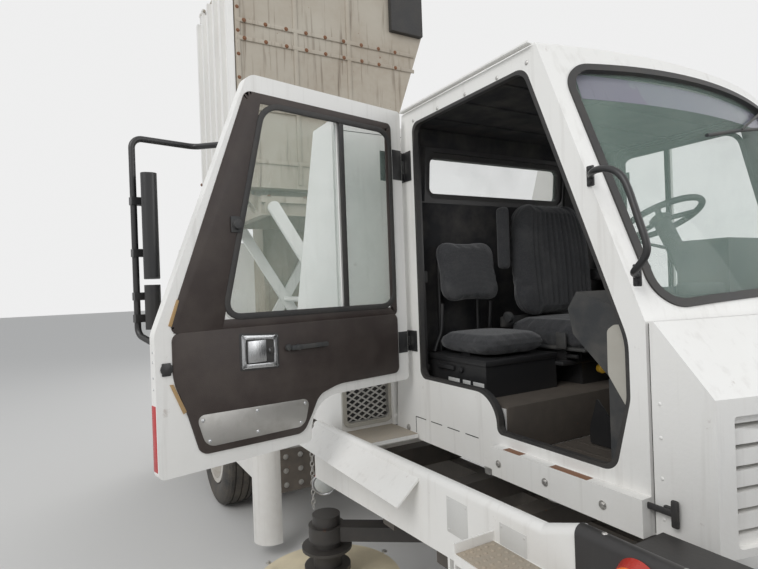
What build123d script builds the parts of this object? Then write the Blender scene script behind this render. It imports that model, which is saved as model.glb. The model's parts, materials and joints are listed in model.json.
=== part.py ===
from build123d import *
from math import asin, atan2, cos, degrees, hypot, radians, sin, tan
import os

os.makedirs("parts", exist_ok=True)

# Frame of reference: +X forward, +Y left, +Z up, origin on the road, on the centre plane and halfway
# between the axles. All sizes in millimetres.

# Wheels and axles
wheelbase = 4450
tyre_diameter = 1000
tyre_width = 275
rim_diameter = 572
bead_height = 24
rim_wall = 14
overall_width = 2440
twin_pitch = 310
groove_places = (-60, 0, 60)
groove_width = 12
groove_depth = 12
wheel_fit = 1
hand_hole_circle = 205

# Ladder frame
rail_bottom = 640
rail_height = 240
rail_flange = 80
rail_wall = 8
rail_gap = 700
front_overhang = 425
rear_overhang = 425
outrigger_height = 110
outrigger_width = 90
outrigger_places = (180, 760, 1150)
cross_inset = 170
cross_places = (1300, 520, -420)
cross_width = 80
cross_height = 140
end_plate = 30
tow_bore = 38
tow_plate_thickness = 50
tow_eye_radius = 62
tow_eye_reach = 70

# Steering
kingpin_y = 880
kingpin_diameter = 44
axle_eye_diameter = 104
axle_eye_height = 130
axle_beam_height = 105
axle_beam_width = 90
steering_arm = 160
yoke_clearance = 6
pin_fit = 1

# Leaf springs
spring_half = 400
spring_width = 75
leaf_thickness = 14
leaf_rise = 36

# Cab shell
cab_half_width = 790
cab_wall = 45
cab_bottom = 1120
cab_rear_bottom = 265
cab_rear_top = 415
cab_front = 1718
cab_bow = 110
cowl_height = 1760
roof_corner_x = 1320
roof_top = 2770
roof_wall = 50
floor_wall = 50
sill_rear = 1060
sill_top = 1235
sill_depth = 45

# Door opening and door
opening_rear = 505
opening_top = 2690
opening_hump = 1430
opening_sill = 1275
opening_front = 1600
opening_front_lean = 60
opening_lean_rise = 240
opening_bend = 1700
hump_end = 1048
hump_radius = 125
door_hinge_x = 430
door_hinge_offset = 32
door_thickness = 45
door_seal_gap = 7
door_open_angle = 78
door_length = 1244
door_top = 2755
door_bottom = 1243
door_bend = 1751
door_start = 12
notch_end = 603
door_notch_radius = 140
door_hinge_heights = (1500, 2530)
hinge_barrel_diameter = 22
hinge_length = 90

# Windows
window_sill = 1775
window_top = 2665
window_rear = 75
window_front_low = 1005
window_front_high = 800
divider_place = 390
divider_width = 26
glass_thickness = 6
glass_set = 14
seal_width = 28
seal_lip = 5
seal_depth = 34
door_seal_width = 14
door_seal_depth = 25
windshield_margin = 60
windshield_low = 22
windshield_corner = 120
rear_window_y = -155
rear_window_width = 1010
rear_window_bottom = 2340
rear_window_height = 240
rear_window_corner = 60

# Mirrors on the doors
mirror_tube = 24
mirror_bend = 40
mirror_stand = 210
mirror_reach = 1215
mirror_arm_top = 2500
mirror_arm_bottom = 1740
mirror_foot_high = 905
mirror_foot_low = 1170
mirror_foot = 18
mirror_depth = 58
mirror_turn = 19
mirror_offset = 60
mirror_heads = ((1955, 400, 190), (1760, 170, 160))
mirror_clamp = 30

# Roof fitting for a beacon
beacon_place = (700, 0, 2770)
beacon_boss_diameter = 120
beacon_boss_height = 10
beacon_bore = 26

# Cab interior
riser_front = 1050
riser_top = 1368
steering_y = 120
steering_wheel_x = 1200
steering_wheel_height = 2157
steering_wheel_diameter = 390
steering_rim = 28
steering_spoke = 24
hub_cap_radius = 48
column_tilt = radians(65)
column_length = 430
column_radius = 38
shroud_length = 170
shroud_width = 180
shroud_height = 250
binnacle_depth = 200
binnacle_width = 520
binnacle_height = 230
dash_depth = 300
dash_top = 1850
dash_low = 1560
dash_foot = 80
dash_leg = 120
seat_wall_gap = 25
seat_back_lean = 55
seat_back_thickness = 110
driver_seat_y = 80
driver_seat_width = 640
driver_seat_depth = 560
driver_cushion = 120
driver_cushion_low = 1560
driver_back_top = 2330
jump_seat_y = -473
jump_seat_width = 420
jump_seat_depth = 450
jump_cushion = 80
jump_cushion_low = 1560
jump_back_low = 1786
jump_back_top = 2119
seat_box_width = 440
seat_box_depth = 460
seat_box_height = 170
pedestal = 380
frame_tube = 22

# Nose
nose_depth = 195
nose_top = 1556
nose_bottom = 1120
nose_gap = 12
louvre_count = 6
louvre_pitch = 59
louvre_height = 14
louvre_low = 1150
recess_depth = 20

# Cabinets behind the cab
cabinet_front = 235
cabinet_side = 1100
cabinet_width = 470
cabinet_top = 2750
cabinet_bottom = 1150
grille_low = 1180
grille_high = 1480
grille_depth = 40
grille_inner_y = 810
grille_outer_y = 1085
cabinet_rear_top = 0
cabinet_rear_low = -345
cabinet_bend = 1730
cabinet_foot_x = -120
grille_pitch = 34
grille_strand = 8

# Side beams outboard of the cab
beam_rear = 100
beam_outer = 1200
beam_thickness = 50
beam_round = 24
beam_bottom_rear = 905
beam_bottom_front = 1000
beam_top_rear = 1200
beam_knee_reach = 125
beam_knee_top = 1234
beam_top_front = 1279
shelf_length = 245
shelf_thickness = 18
shelf_top = 1150
cover_start = 30
cover_length = 950
cover_reach = 100
cover_drop = 85
cover_thickness = 5

# Steps at the side beams: how far ahead of the upper step's rear end each lower one starts, its top
step_table = ((-185, 800), (-235, 500))
step_length = 300
step_depth = 200
step_thickness = 28
step_hanger = 12
upper_step_reach = 150
upper_step_top = 1120
upper_step_wall = 6
upper_step_skirt = 60
upper_step_lip = 30
upper_step_gap = 15

# Front fenders, bumper and lamps
fender_reach = 435
fender_low = 960
fender_top = 1283
fender_deck = 1172
fender_nose = 90
fender_wall = 25
fender_inner = 850
arch_radius = 640
bumper_low = 560
bumper_gap = 6
bumper_depth = 124
deck_height = 1000
deck_thickness = 30
deck_reach = 145
apron_top = 1160
bumper_half = 640
headlamp_y = 1030
headlamp_z = 1060
headlamp_width = 240
headlamp_height = 130
headlamp_depth = 40
marker_reach = 260
marker_radius = 58
marker_depth = 30
marker_height = 1213
tail_lamp_width = 300
tail_lamp_height = 110
tail_lamp_depth = 24
tail_lamp_z = 900
worklamp_place = (30, 1118, 848)
worklamp_radius = 60
worklamp_depth = 70
worklamp_bracket = 24

# Hopper, raised and level
hopper_setback = 870
hopper_length = 1070
hopper_right = -1130
hopper_left = 600
hopper_bottom = 2690
hopper_top = 4560
hopper_wall = 25
hopper_knee = 4160
hopper_foot = 60
lip_height = 2870
intake_width = 1250
intake_height = 420
intake_centre = 4070
dump_door_gap = 8
dump_door_skin = 14
dump_hinge_y = -1160
dump_hinge_drop = 150
rib_count = 6
rib_depth = 35
rib_width = 45

# Hopper lift
lift_travel = 1310
arm_length = 1750
arm_depth = 96
arm_thickness = 34
arm_gap = 8
lift_pin_diameter = 50
roller_diameter = 76
roller_clearance = 6
channel_wall = 12
channel_depth = 50
lower_pivot_height = 1045
pivot_y = -870
table_depth = 150
table_bottom = 2480
table_half = 960
table_pivot_rise = 55
table_inset = 20
side_beam_width = 70
floor_beam_height = 54
floor_beam_width = 56
dump_pivot_y = -1040
dump_pivot_height = 2655
dump_pin_diameter = 40
dump_bracket_radius = 28

# Lift and dump cylinders
barrel_diameter = 90
rod_diameter = 45
eye_diameter = 80
cylinder_pin_diameter = 36
lift_base_y = 900
lift_base_height = 935
lift_closed_length = 900
lift_cylinder_steps = (175, 315)
lift_plate = 12
dump_base_y = 720
dump_base_height = 2560
dump_eye_y = -200
dump_eye_height = 2610
dump_closed_length = 915
dump_cylinder_steps = (345, 725)
rod_side_gap = 5
lug_wall = 16
lug_drop = 75

# Sweeping gear
broom_diameter = 890
broom_width = 1480
broom_setback = 570
broom_height = 470
broom_shaft_radius = 40
broom_hood_top = 1020
conveyor_top = 2900
gutter_x = 220
gutter_y = 1200
gutter_disc_height = 420
gutter_plate_radius = 370
gutter_tip_radius = 530
gutter_tip_height = 150
gutter_pivot_x = 620
gutter_pivot_y = 640
gutter_bracket_width = 110
gutter_bracket_height = 50
gutter_arm_height = 640
gutter_arm_width = 90
gutter_arm_depth = 70
gutter_post_radius = 40
motor_low = 486
motor_high = 760
motor_radius = 70
motor_flange = 115
motor_plate_radius = 125
motor_plate_height = 600
hose_diameter = 26

# Side boxes and guard plates
box_wheel_gap = 85
box_length = 560
box_outer = 1200
box_inner = 760
box_low = 560
box_high = 1150
box_step_gap = 97
box_rear_high = 860
guard_depth = 130
guard_width = 170
guard_bulge = 35
guard_wall = 8
guard_low = 100
guard_high = 1150
guard_bracket = 12
guard_bracket_low = 450
guard_bracket_high = 750

# Rear body
conveyor_setback = 280
conveyor_half = 600
body_setback = 605
rear_body_length = 1130
rear_body_half = 1180
rear_body_bottom = 560
rear_body_top = 2380
rear_body_wall = 30
link_gap = 2

# Derived places
front_axle = wheelbase / 2
rear_axle = -wheelbase / 2
frame_front = front_axle + front_overhang
frame_rear = rear_axle - rear_overhang
beam_front = front_axle - fender_reach
beam_inner = beam_outer - beam_thickness
deck_rear = front_axle - deck_reach
marker_x = front_axle - marker_reach
hopper_front = rear_axle + hopper_setback
lift_cylinder_places = [hopper_front - step for step in lift_cylinder_steps]
dump_cylinder_places = [hopper_front - step for step in dump_cylinder_steps]
dump_hinge_height = hopper_top - dump_hinge_drop
box_rear = rear_axle + tyre_diameter / 2 + box_wheel_gap
box_front = box_rear + box_length
box_step = hopper_front + box_step_gap
conveyor_front = rear_axle - conveyor_setback
rear_body_front = rear_axle - body_setback
rear_body_rear = rear_body_front - rear_body_length
broom_x = rear_body_front - broom_setback
link_front = conveyor_front - link_gap
tyre_radius = tyre_diameter / 2
hub_height = tyre_radius
rim_radius = rim_diameter / 2
tyre_y = overall_width / 2 - tyre_width / 2
rail_top = rail_bottom + rail_height
rail_centre = rail_gap / 2 + rail_flange / 2
rake = atan2(cab_front - roof_corner_x, roof_top - cowl_height)
SIDES = (("right", -1), ("left", 1))


# Wheels

def tyre_profile(centre_y):
    """Half section of a tyre with its tread grooves, for revolving about the axle"""
    half = tyre_width / 2
    bead = 0.78 * half
    shoulder = 0.82 * half
    bulge_height = rim_radius + 105
    with BuildSketch(Plane.YZ) as section:
        with BuildLine():
            outer = Polyline(
                (centre_y - shoulder, tyre_radius - 14), (centre_y - shoulder + 22, tyre_radius),
                (centre_y + shoulder - 22, tyre_radius), (centre_y + shoulder, tyre_radius - 14),
            )
            left = ThreePointArc(outer @ 1, (centre_y + half, bulge_height), (centre_y + bead, rim_radius + bead_height))
            right = ThreePointArc(outer @ 0, (centre_y - half, bulge_height), (centre_y - bead, rim_radius + bead_height))
            Polyline(left @ 1, (centre_y + bead, rim_radius), (centre_y - bead, rim_radius), right @ 1)
        make_face()
        with Locations(*[(centre_y + place, tyre_radius) for place in groove_places]):
            Rectangle(groove_width, 2 * groove_depth, mode=Mode.SUBTRACT)
    return section.sketch


def wheel_axis(axle_x):
    """Axis of the wheels on one axle"""
    return Axis((axle_x, 0, hub_height), (0, 1, 0))


def wheel_section(axle_x, sketch):
    """Section moved from the axle line to the wheel's own centre height"""
    return Pos(axle_x, 0, hub_height) * sketch


def rim_profile(centre_y, sign, dish):
    """Half section of a rim: barrel with bead flanges and a disc set dish outboard of its middle"""
    half = 0.78 * tyre_width / 2
    disc_y = centre_y + sign * dish
    with BuildSketch(Plane.YZ) as section:
        with Locations((centre_y, rim_radius - rim_wall / 2)):
            Rectangle(2 * half, rim_wall)
        for edge in (-1, 1):
            with Locations((centre_y + edge * (half + rim_wall / 2), rim_radius + 4)):
                Rectangle(rim_wall, rim_wall + 22)
        with BuildLine():
            Polyline(
                (disc_y - sign * 40, rim_radius - rim_wall / 2),
                (disc_y - sign * 52, rim_radius - rim_wall / 2),
                (disc_y - sign * 8, 190),
                (disc_y - sign * 8, 60),
                (disc_y + sign * 6, 60),
                (disc_y + sign * 6, 195),
                close=True,
            )
        make_face()
    return section.sketch


spindle_radius = 30
hub_outer = 80
inner_y = tyre_y - twin_pitch
disc_meet = (tyre_y + inner_y) / 2
drum_inner = inner_y - 60
drum_radius = 140
axle_tube_radius = axle_beam_height / 2

for side, sign in SIDES:
    tyre_ring = wheel_section(front_axle, tyre_profile(sign * tyre_y))
    with BuildPart() as front_tyre:
        add(tyre_ring)
        revolve(axis=wheel_axis(front_axle))
    front_tyre.part.label = f"front_tyre_{side}"
    export_step(front_tyre.part, f"parts/front_tyre_{side}.step")

    rim_ring = wheel_section(front_axle, rim_profile(sign * tyre_y, sign, 60))
    hub_start = tyre_y - 62
    hub_end = tyre_y + 118
    with BuildPart() as front_rim:
        add(rim_ring)
        revolve(axis=wheel_axis(front_axle))
        hub_plane = Plane((front_axle, sign * hub_start, hub_height), x_dir=(1, 0, 0), z_dir=(0, sign, 0))
        with BuildSketch(hub_plane):
            Circle(hub_outer)
        extrude(amount=hub_end - hub_start)
        with BuildSketch(hub_plane.offset(-1)):
            Circle(spindle_radius + wheel_fit)
        extrude(amount=hub_end - hub_start - 30, mode=Mode.SUBTRACT)
        with BuildSketch(hub_plane):
            with PolarLocations(hand_hole_circle, 8):
                Circle(24)
        extrude(amount=2 * tyre_width, mode=Mode.SUBTRACT)
    front_rim.part.label = f"front_rim_{side}"
    export_step(front_rim.part, f"parts/front_rim_{side}.step")

    rear_tyre_rings = [wheel_section(rear_axle, tyre_profile(sign * centre)) for centre in (tyre_y, inner_y)]
    with BuildPart() as rear_tyres:
        for ring in rear_tyre_rings:
            add(ring)
            revolve(axis=wheel_axis(rear_axle))
    rear_tyres.part.label = f"rear_tyres_{side}"
    export_step(rear_tyres.part, f"parts/rear_tyres_{side}.step")

    rear_rim_rings = [
        wheel_section(rear_axle, rim_profile(sign * centre, sign * turn, abs(disc_meet - centre) - 8))
        for centre, turn in ((tyre_y, -1), (inner_y, 1))
    ]
    drum_plane = Plane((rear_axle, sign * drum_inner, hub_height), x_dir=(1, 0, 0), z_dir=(0, sign, 0))
    drum_length = disc_meet - drum_inner + 30
    with BuildPart() as rear_rims:
        for ring in rear_rim_rings:
            add(ring)
            revolve(axis=wheel_axis(rear_axle))
        with BuildSketch(drum_plane):
            Circle(drum_radius)
            Circle(axle_tube_radius + wheel_fit, mode=Mode.SUBTRACT)
        extrude(amount=drum_length)
        with BuildSketch(drum_plane.offset(drum_length)):
            Circle(drum_radius)
        extrude(amount=30)
        with BuildSketch(drum_plane.offset(drum_length + 30)):
            Circle(95)
        extrude(amount=60)
        with BuildSketch(drum_plane.offset(drum_length - 60)):
            with PolarLocations(hand_hole_circle, 8):
                Circle(24)
        extrude(amount=90, mode=Mode.SUBTRACT)
    rear_rims.part.label = f"rear_rims_{side}"
    export_step(rear_rims.part, f"parts/rear_rims_{side}.step")


# Ladder frame: rails, crossmembers with the tow eye, and outriggers

rail_middle = rail_bottom + rail_height / 2
web_inner = rail_centre + rail_flange / 2 - rail_wall
crossmember_places = (frame_front - cross_inset, *cross_places, hopper_front + 55, frame_rear + cross_inset)

with BuildPart() as frame_rails:
    for sign in (-1, 1):
        with BuildSketch(Plane.YZ.offset(frame_rear)):
            with Locations((sign * rail_centre, rail_middle)):
                Rectangle(rail_flange, rail_height)
            with Locations((sign * (rail_centre - rail_wall), rail_middle)):
                Rectangle(rail_flange, rail_height - 2 * rail_wall, mode=Mode.SUBTRACT)
        extrude(amount=frame_front - frame_rear)
frame_rails.part.label = "frame_rails"
export_step(frame_rails.part, "parts/frame_rails.step")

with BuildPart() as crossmembers:
    for place in crossmember_places:
        with Locations((place, 0, rail_middle)):
            Box(cross_width, 2 * web_inner, cross_height)
    for end, direction in ((frame_front, 1), (frame_rear, -1)):
        with Locations((end - direction * end_plate / 2, 0, rail_middle)):
            Box(end_plate, 2 * web_inner, rail_height - 2 * rail_wall)
    with BuildSketch(Plane.XY.offset(rail_middle - tow_plate_thickness / 2)):
        with Locations((frame_front + tow_eye_reach, 0)):
            Circle(tow_eye_radius)
        with Locations((frame_front + (tow_eye_reach - end_plate) / 2, 0)):
            Rectangle(tow_eye_reach + end_plate, 2 * tow_eye_radius)
        with Locations((frame_front + tow_eye_reach, 0)):
            Circle(tow_bore / 2, mode=Mode.SUBTRACT)
    extrude(amount=tow_plate_thickness)
crossmembers.part.label = "crossmembers"
export_step(crossmembers.part, "parts/crossmembers.step")

post_low = gutter_arm_height - 40
bracket_end = gutter_pivot_x - outrigger_width / 2
bracket_length = outrigger_places[1] + outrigger_width / 2 - bracket_end
guard_end_x = box_front + guard_depth
guard_end_y = box_outer - guard_width
rail_outer = rail_centre + rail_flange / 2

with BuildPart() as outriggers:
    for place in outrigger_places:
        with Locations((place, 0, rail_top + outrigger_height / 2)):
            Box(outrigger_width, 2 * beam_inner, outrigger_height)
    for side, sign in SIDES:
        with Locations((bracket_end + bracket_length / 2, sign * gutter_pivot_y, rail_top - gutter_bracket_height / 2)):
            Box(bracket_length, gutter_bracket_width, gutter_bracket_height)
        with BuildSketch(Plane.XY.offset(post_low)):
            with Locations((gutter_pivot_x, sign * gutter_pivot_y)):
                Circle(gutter_post_radius)
        extrude(amount=rail_top - post_low - gutter_bracket_height / 2)
        with BuildSketch(Plane.XY.offset(post_low)):
            with Locations((gutter_pivot_x, sign * gutter_pivot_y)):
                Circle(gutter_post_radius + 22)
        extrude(amount=34)
        with Locations((
            guard_end_x - guard_bracket / 2,
            sign * (rail_outer + guard_end_y) / 2,
            (guard_bracket_low + guard_bracket_high) / 2,
        )):
            Box(guard_bracket, guard_end_y - rail_outer, guard_bracket_high - guard_bracket_low)
outriggers.part.label = "outriggers"
export_step(outriggers.part, "parts/outriggers.step")


# Base of the hopper lift: roller channels on legs, and the feet of the lift cylinders

table_front = hopper_front - table_inset
table_rear = hopper_front - hopper_length + table_inset
channel_inner = roller_diameter + 2 * roller_clearance
channel_height = channel_inner + 2 * channel_wall
base_half = channel_height / 2
end_steps = ((table_front, 1), (table_rear, -1))
pivot_block = 120
leg_length = 90
lug_step = rod_diameter / 2 + rod_side_gap + lug_wall / 2


def channel_section(middle, half_height, opening):
    """Section in the XZ plane of a channel that ends the lift's base or table, open along opening"""
    face, direction = opening
    with BuildSketch(Plane.XZ) as section:
        with Locations((face - direction * channel_depth / 2, middle)):
            Rectangle(channel_depth, 2 * half_height)
        with Locations((face - direction * (channel_depth - channel_wall) / 2, middle)):
            Rectangle(channel_depth - channel_wall, 2 * half_height - 2 * channel_wall, mode=Mode.SUBTRACT)
    return section.sketch


base_channels = [channel_section(lower_pivot_height, base_half, step) for step in end_steps]
leg_top = lower_pivot_height - base_half

with BuildPart() as lift_base:
    for section in base_channels:
        add(Pos(0, table_half, 0) * section)
        extrude(amount=2 * table_half, dir=(0, -1, 0))
    for face, direction in end_steps:
        with Locations((face - direction * channel_depth / 2, pivot_y, lower_pivot_height)):
            Box(channel_depth, pivot_block, channel_height)
        for sign in (-1, 1):
            with Locations((face - direction * leg_length / 2, sign * rail_centre, (rail_top + leg_top) / 2)):
                Box(leg_length, rail_flange, leg_top - rail_top)
        with BuildSketch(Plane.YZ.offset(face - direction * channel_depth / 2 - channel_depth)):
            with Locations((pivot_y, lower_pivot_height)):
                Circle(lift_pin_diameter / 2 + pin_fit)
        extrude(amount=2 * channel_depth, mode=Mode.SUBTRACT)
    plate_inner = rail_centre - rail_flange / 2
    plate_outer = lift_base_y + eye_diameter / 2
    with Locations((sum(lift_cylinder_places) / 2, (plate_inner + plate_outer) / 2, rail_top + lift_plate / 2)):
        Box(250, plate_outer - plate_inner, lift_plate)
    for place in lift_cylinder_places:
        for step in (-1, 1):
            with BuildSketch(Plane.YZ.offset(place + step * lug_step - lug_wall / 2)):
                with Locations((lift_base_y, lift_base_height)):
                    Circle(eye_diameter / 2)
                with Locations((lift_base_y, (lift_base_height + rail_top) / 2)):
                    Rectangle(eye_diameter, lift_base_height - rail_top)
            extrude(amount=lug_wall)
        with BuildSketch(Plane.YZ.offset(place - lug_step)):
            with Locations((lift_base_y, lift_base_height)):
                Circle(cylinder_pin_diameter / 2)
        extrude(amount=2 * lug_step)
lift_base.part.label = "lift_base"
export_step(lift_base.part, "parts/lift_base.step")


# Axles with their leaf springs

leaf_table = ((1.0, 0), (0.78, 1), (0.56, 2), (0.34, 3))
hanger_height = 34
hanger_length = 60
spring_top = rail_bottom - hanger_height
leaf_middle = spring_top - leaf_rise
pack_bottom = leaf_middle - len(leaf_table) * leaf_thickness


def leaf(share, layer):
    """One spring leaf as a face in the XZ plane, its layer counted down from the main leaf"""
    half = share * spring_half
    rise = leaf_rise * share**2
    low = leaf_middle - leaf_thickness * (layer + 1)
    high = low + leaf_thickness + 1
    with BuildSketch(Plane.XZ) as face:
        with BuildLine():
            bottom = ThreePointArc((-half, low + rise), (0, low), (half, low + rise))
            top = ThreePointArc((-half, high + rise), (0, high), (half, high + rise))
            Line(bottom @ 0, top @ 0)
            Line(bottom @ 1, top @ 1)
        make_face()
    return face.sketch


def springs(axle_x):
    """Both leaf packs of an axle, with their seats on it and the hangers that meet the rails"""
    leaves = [leaf(share, layer) for share, layer in leaf_table]
    with BuildPart() as packs:
        for sign in (-1, 1):
            for face in leaves:
                add(Pos(axle_x, sign * rail_centre + spring_width / 2, 0) * face)
                extrude(amount=spring_width, dir=(0, -1, 0))
            for end in (-1, 1):
                with Locations((axle_x + end * (spring_half - hanger_length / 2), sign * rail_centre, rail_bottom - 30)):
                    Box(hanger_length, spring_width, 60)
            with Locations((axle_x, sign * rail_centre, (pack_bottom + hub_height) / 2)):
                Box(150, spring_width + 30, pack_bottom - hub_height + 2)
    return packs.part


front_springs = springs(front_axle)
rear_springs = springs(rear_axle)

with BuildPart() as axle_front:
    add(front_springs)
    with BuildSketch(Plane.XZ.offset(kingpin_y)):
        with Locations((front_axle, hub_height)):
            Rectangle(axle_beam_width, axle_beam_height)
            with Locations((-(axle_beam_width / 2), 0), (axle_beam_width / 2, 0)):
                Rectangle(axle_beam_width - 26, axle_beam_height - 40, mode=Mode.SUBTRACT)
    extrude(amount=-2 * kingpin_y)
    with Locations((front_axle, kingpin_y, hub_height), (front_axle, -kingpin_y, hub_height)):
        Cylinder(axle_eye_diameter / 2, axle_eye_height)
        Cylinder(kingpin_diameter / 2 + pin_fit, axle_eye_height + 2, mode=Mode.SUBTRACT)
axle_front.part.label = "axle_front"
export_step(axle_front.part, "parts/axle_front.step")

differential_radius = 185
axle_tube_end = disc_meet + 20
with BuildPart() as axle_rear:
    add(rear_springs)
    with BuildSketch(Plane.XZ.offset(axle_tube_end)):
        with Locations((rear_axle, hub_height)):
            Circle(axle_tube_radius)
    extrude(amount=-2 * axle_tube_end)
    with Locations((rear_axle, 0, hub_height)):
        Sphere(differential_radius)
    with BuildSketch(Plane.YZ.offset(rear_axle)):
        with Locations((0, hub_height)):
            Circle(differential_radius / 2)
    extrude(amount=differential_radius + 110)
axle_rear.part.label = "axle_rear"
export_step(axle_rear.part, "parts/axle_rear.step")


# Steering knuckles and tie rod

lug_height = 38
web_thickness = 32
yoke_half = axle_eye_height / 2 + yoke_clearance
yoke_outer = kingpin_y + axle_eye_diameter / 2 + yoke_clearance
steering_arm_height = hub_height - yoke_half - lug_height / 2
stud_diameter = 20
stud_length = 40
rod_end_radius = 27
rod_end_height = 34
tie_rod_height = steering_arm_height - lug_height / 2 - yoke_clearance - rod_end_height / 2

for side, sign in SIDES:
    with BuildPart() as knuckle:
        for level in (-1, 1):
            with BuildSketch(Plane.XY.offset(hub_height + level * (yoke_half + lug_height / 2) - lug_height / 2)):
                with Locations((front_axle, sign * kingpin_y)):
                    Circle(axle_eye_diameter / 2)
                with Locations((front_axle, sign * (kingpin_y + yoke_outer + web_thickness / 2) / 2)):
                    Rectangle(axle_eye_diameter, yoke_outer + web_thickness / 2 - kingpin_y)
            extrude(amount=lug_height)
        with Locations((front_axle, sign * (yoke_outer + web_thickness / 2), hub_height)):
            Box(axle_eye_diameter, web_thickness, 2 * (yoke_half + lug_height))
        with Locations((front_axle, sign * kingpin_y, hub_height)):
            Cylinder(kingpin_diameter / 2, 2 * (yoke_half + lug_height))
        with BuildSketch(Plane((front_axle, sign * yoke_outer, hub_height), x_dir=(1, 0, 0), z_dir=(0, sign, 0))):
            Circle(spindle_radius)
        extrude(amount=tyre_y + 60 - yoke_outer)
        with BuildSketch(Plane.XY.offset(steering_arm_height - lug_height / 2)):
            with Locations((front_axle - steering_arm / 2, sign * kingpin_y)):
                Rectangle(steering_arm, 46)
            with Locations((front_axle - steering_arm, sign * kingpin_y)):
                Circle(28)
        extrude(amount=lug_height)
        with BuildSketch(Plane.XY.offset(steering_arm_height)):
            with Locations((front_axle - steering_arm, sign * kingpin_y)):
                Circle(stud_diameter / 2)
        extrude(amount=-lug_height / 2 - stud_length)
    knuckle.part.label = f"knuckle_{side}"
    export_step(knuckle.part, f"parts/knuckle_{side}.step")

rod_ends = ((front_axle - steering_arm, kingpin_y, tie_rod_height), (front_axle - steering_arm, -kingpin_y, tie_rod_height))
with BuildPart() as tie_rod:
    with BuildSketch(Plane.XZ.offset(kingpin_y)):
        with Locations((front_axle - steering_arm, tie_rod_height)):
            Circle(15)
    extrude(amount=-2 * kingpin_y)
    with Locations(*rod_ends):
        Cylinder(rod_end_radius, rod_end_height)
        Cylinder(stud_diameter / 2 + pin_fit, rod_end_height + 2, mode=Mode.SUBTRACT)
tie_rod.part.label = "tie_rod"
export_step(tie_rod.part, "parts/tie_rod.step")


# Engine and the hood over it

engine_front = -470
engine_rear = hopper_front + 175
engine_bottom = 850
engine_top = 1550
hood_wall = 25
hood_top = 1950
hood_half = 610
hood_front = -360
hood_rear = hopper_front + 93
hood_bottom = 1240
hood_chamfer = 120

with BuildPart() as engine:
    with Locations(((engine_front + engine_rear) / 2, 0, (engine_bottom + engine_top) / 2)):
        Box(engine_front - engine_rear, rail_gap - 60, engine_top - engine_bottom)
    chamfer(engine.edges().filter_by(Axis.X).group_by(Axis.Z)[-1], 80)
    for place in (engine_front - 60, engine_rear + 60):
        with Locations((place, 0, rail_top + 25)):
            Box(80, rail_gap + 2 * rail_flange, 50)
engine.part.label = "engine"


def hood_section(inset, low):
    """Section of the engine hood, drawn in by inset, down to low"""
    half = hood_half - inset
    top = hood_top - inset
    cut = hood_chamfer - inset * (2 - 2**0.5)
    with BuildSketch(Plane.YZ) as section:
        with BuildLine():
            Polyline(
                (-half, low), (-half, top - cut), (-half + cut, top),
                (half - cut, top), (half, top - cut), (half, low), close=True,
            )
        make_face()
    return section.sketch


hood_skin = hood_section(0, hood_bottom)
hood_inside = hood_section(hood_wall, hood_bottom - 1)
with BuildPart() as engine_hood:
    add(Pos(hood_rear, 0, 0) * hood_skin)
    extrude(amount=hood_front - hood_rear, dir=(1, 0, 0))
    add(Pos(hood_rear + hood_wall, 0, 0) * hood_inside)
    extrude(amount=hood_front - hood_rear - 2 * hood_wall, dir=(1, 0, 0), mode=Mode.SUBTRACT)
    for sign in (-1, 1):
        for place in (hood_front - 60, hood_rear + 60):
            with Locations((place, sign * (hood_half - hood_wall / 2), (hood_bottom + rail_top) / 2)):
                Box(60, hood_wall, hood_bottom - rail_top)
            with Locations((place, sign * (hood_half + rail_centre) / 2, rail_top + 15)):
                Box(60, hood_half - rail_centre, 30)
engine_hood.part.label = "engine_hood"
export_step(engine_hood.part, "parts/engine_hood.step")
export_step(engine.part, "parts/engine.step")


# Cab shell

def rear_lean(height):
    """How far the rear wall has leaned forward at a height"""
    return (cab_rear_top - cab_rear_bottom) * (height - cab_bottom) / (roof_top - cab_bottom)


def cab_plan(inset, front, height):
    """Plan of the cab at a height, drawn in by inset, with its bowed front"""
    half = cab_half_width - inset
    rear = cab_rear_bottom - 500
    with BuildSketch(Plane.XY.offset(height)) as plan:
        with BuildLine():
            right = Line((rear, -half), (front, -half))
            bow = ThreePointArc(right @ 1, (front + cab_bow, 0), (front, half))
            left = Line(bow @ 1, (rear, half))
            Line(left @ 1, right @ 0)
        make_face()
    return plan.sketch


def cab_body(inset, bottom, top):
    """Solid that fills the cab between two heights, drawn in by inset at its sides, front and rear"""
    low_plan = cab_plan(inset, cab_front - inset, bottom)
    high_plan = cab_plan(inset, cab_front - inset / cos(rake), cowl_height)
    with BuildPart() as body:
        if bottom < cowl_height:
            add(low_plan)
            extrude(amount=cowl_height - bottom)
        add(high_plan)
        extrude(amount=(roof_top - cowl_height) / cos(rake) + 50, dir=(-sin(rake), 0, cos(rake)))
        with BuildSketch(Plane.XZ):
            with BuildLine():
                Polyline(
                    (cab_rear_bottom + inset + rear_lean(bottom), bottom),
                    (cab_rear_bottom + inset + rear_lean(top), top),
                    (cab_front + 400, top), (cab_front + 400, bottom), close=True,
                )
            make_face()
        extrude(amount=cab_half_width + 1, both=True, mode=Mode.INTERSECT)
    return body.part


door_slope = tan(rake)


def opening_outline(grow):
    """Side view of the door opening, grown outward by grow"""
    upright = opening_front + opening_front_lean
    top_front = upright - (opening_top - opening_bend) * door_slope
    with BuildSketch(Plane.XZ) as outline:
        with BuildLine():
            FilletPolyline(
                (opening_rear - grow, opening_hump - grow),
                (hump_end - grow, opening_hump - grow),
                (hump_end - grow, opening_sill - grow),
                (opening_front + grow, opening_sill - grow),
                (upright + grow, opening_sill + opening_lean_rise),
                (upright + grow, opening_bend),
                (top_front + grow, opening_top + grow),
                (opening_rear - grow, opening_top + grow),
                radius=[45, hump_radius, 28, 60, 120, 200, 70, 45],
                close=True,
            )
        make_face()
    return outline.sketch


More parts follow.
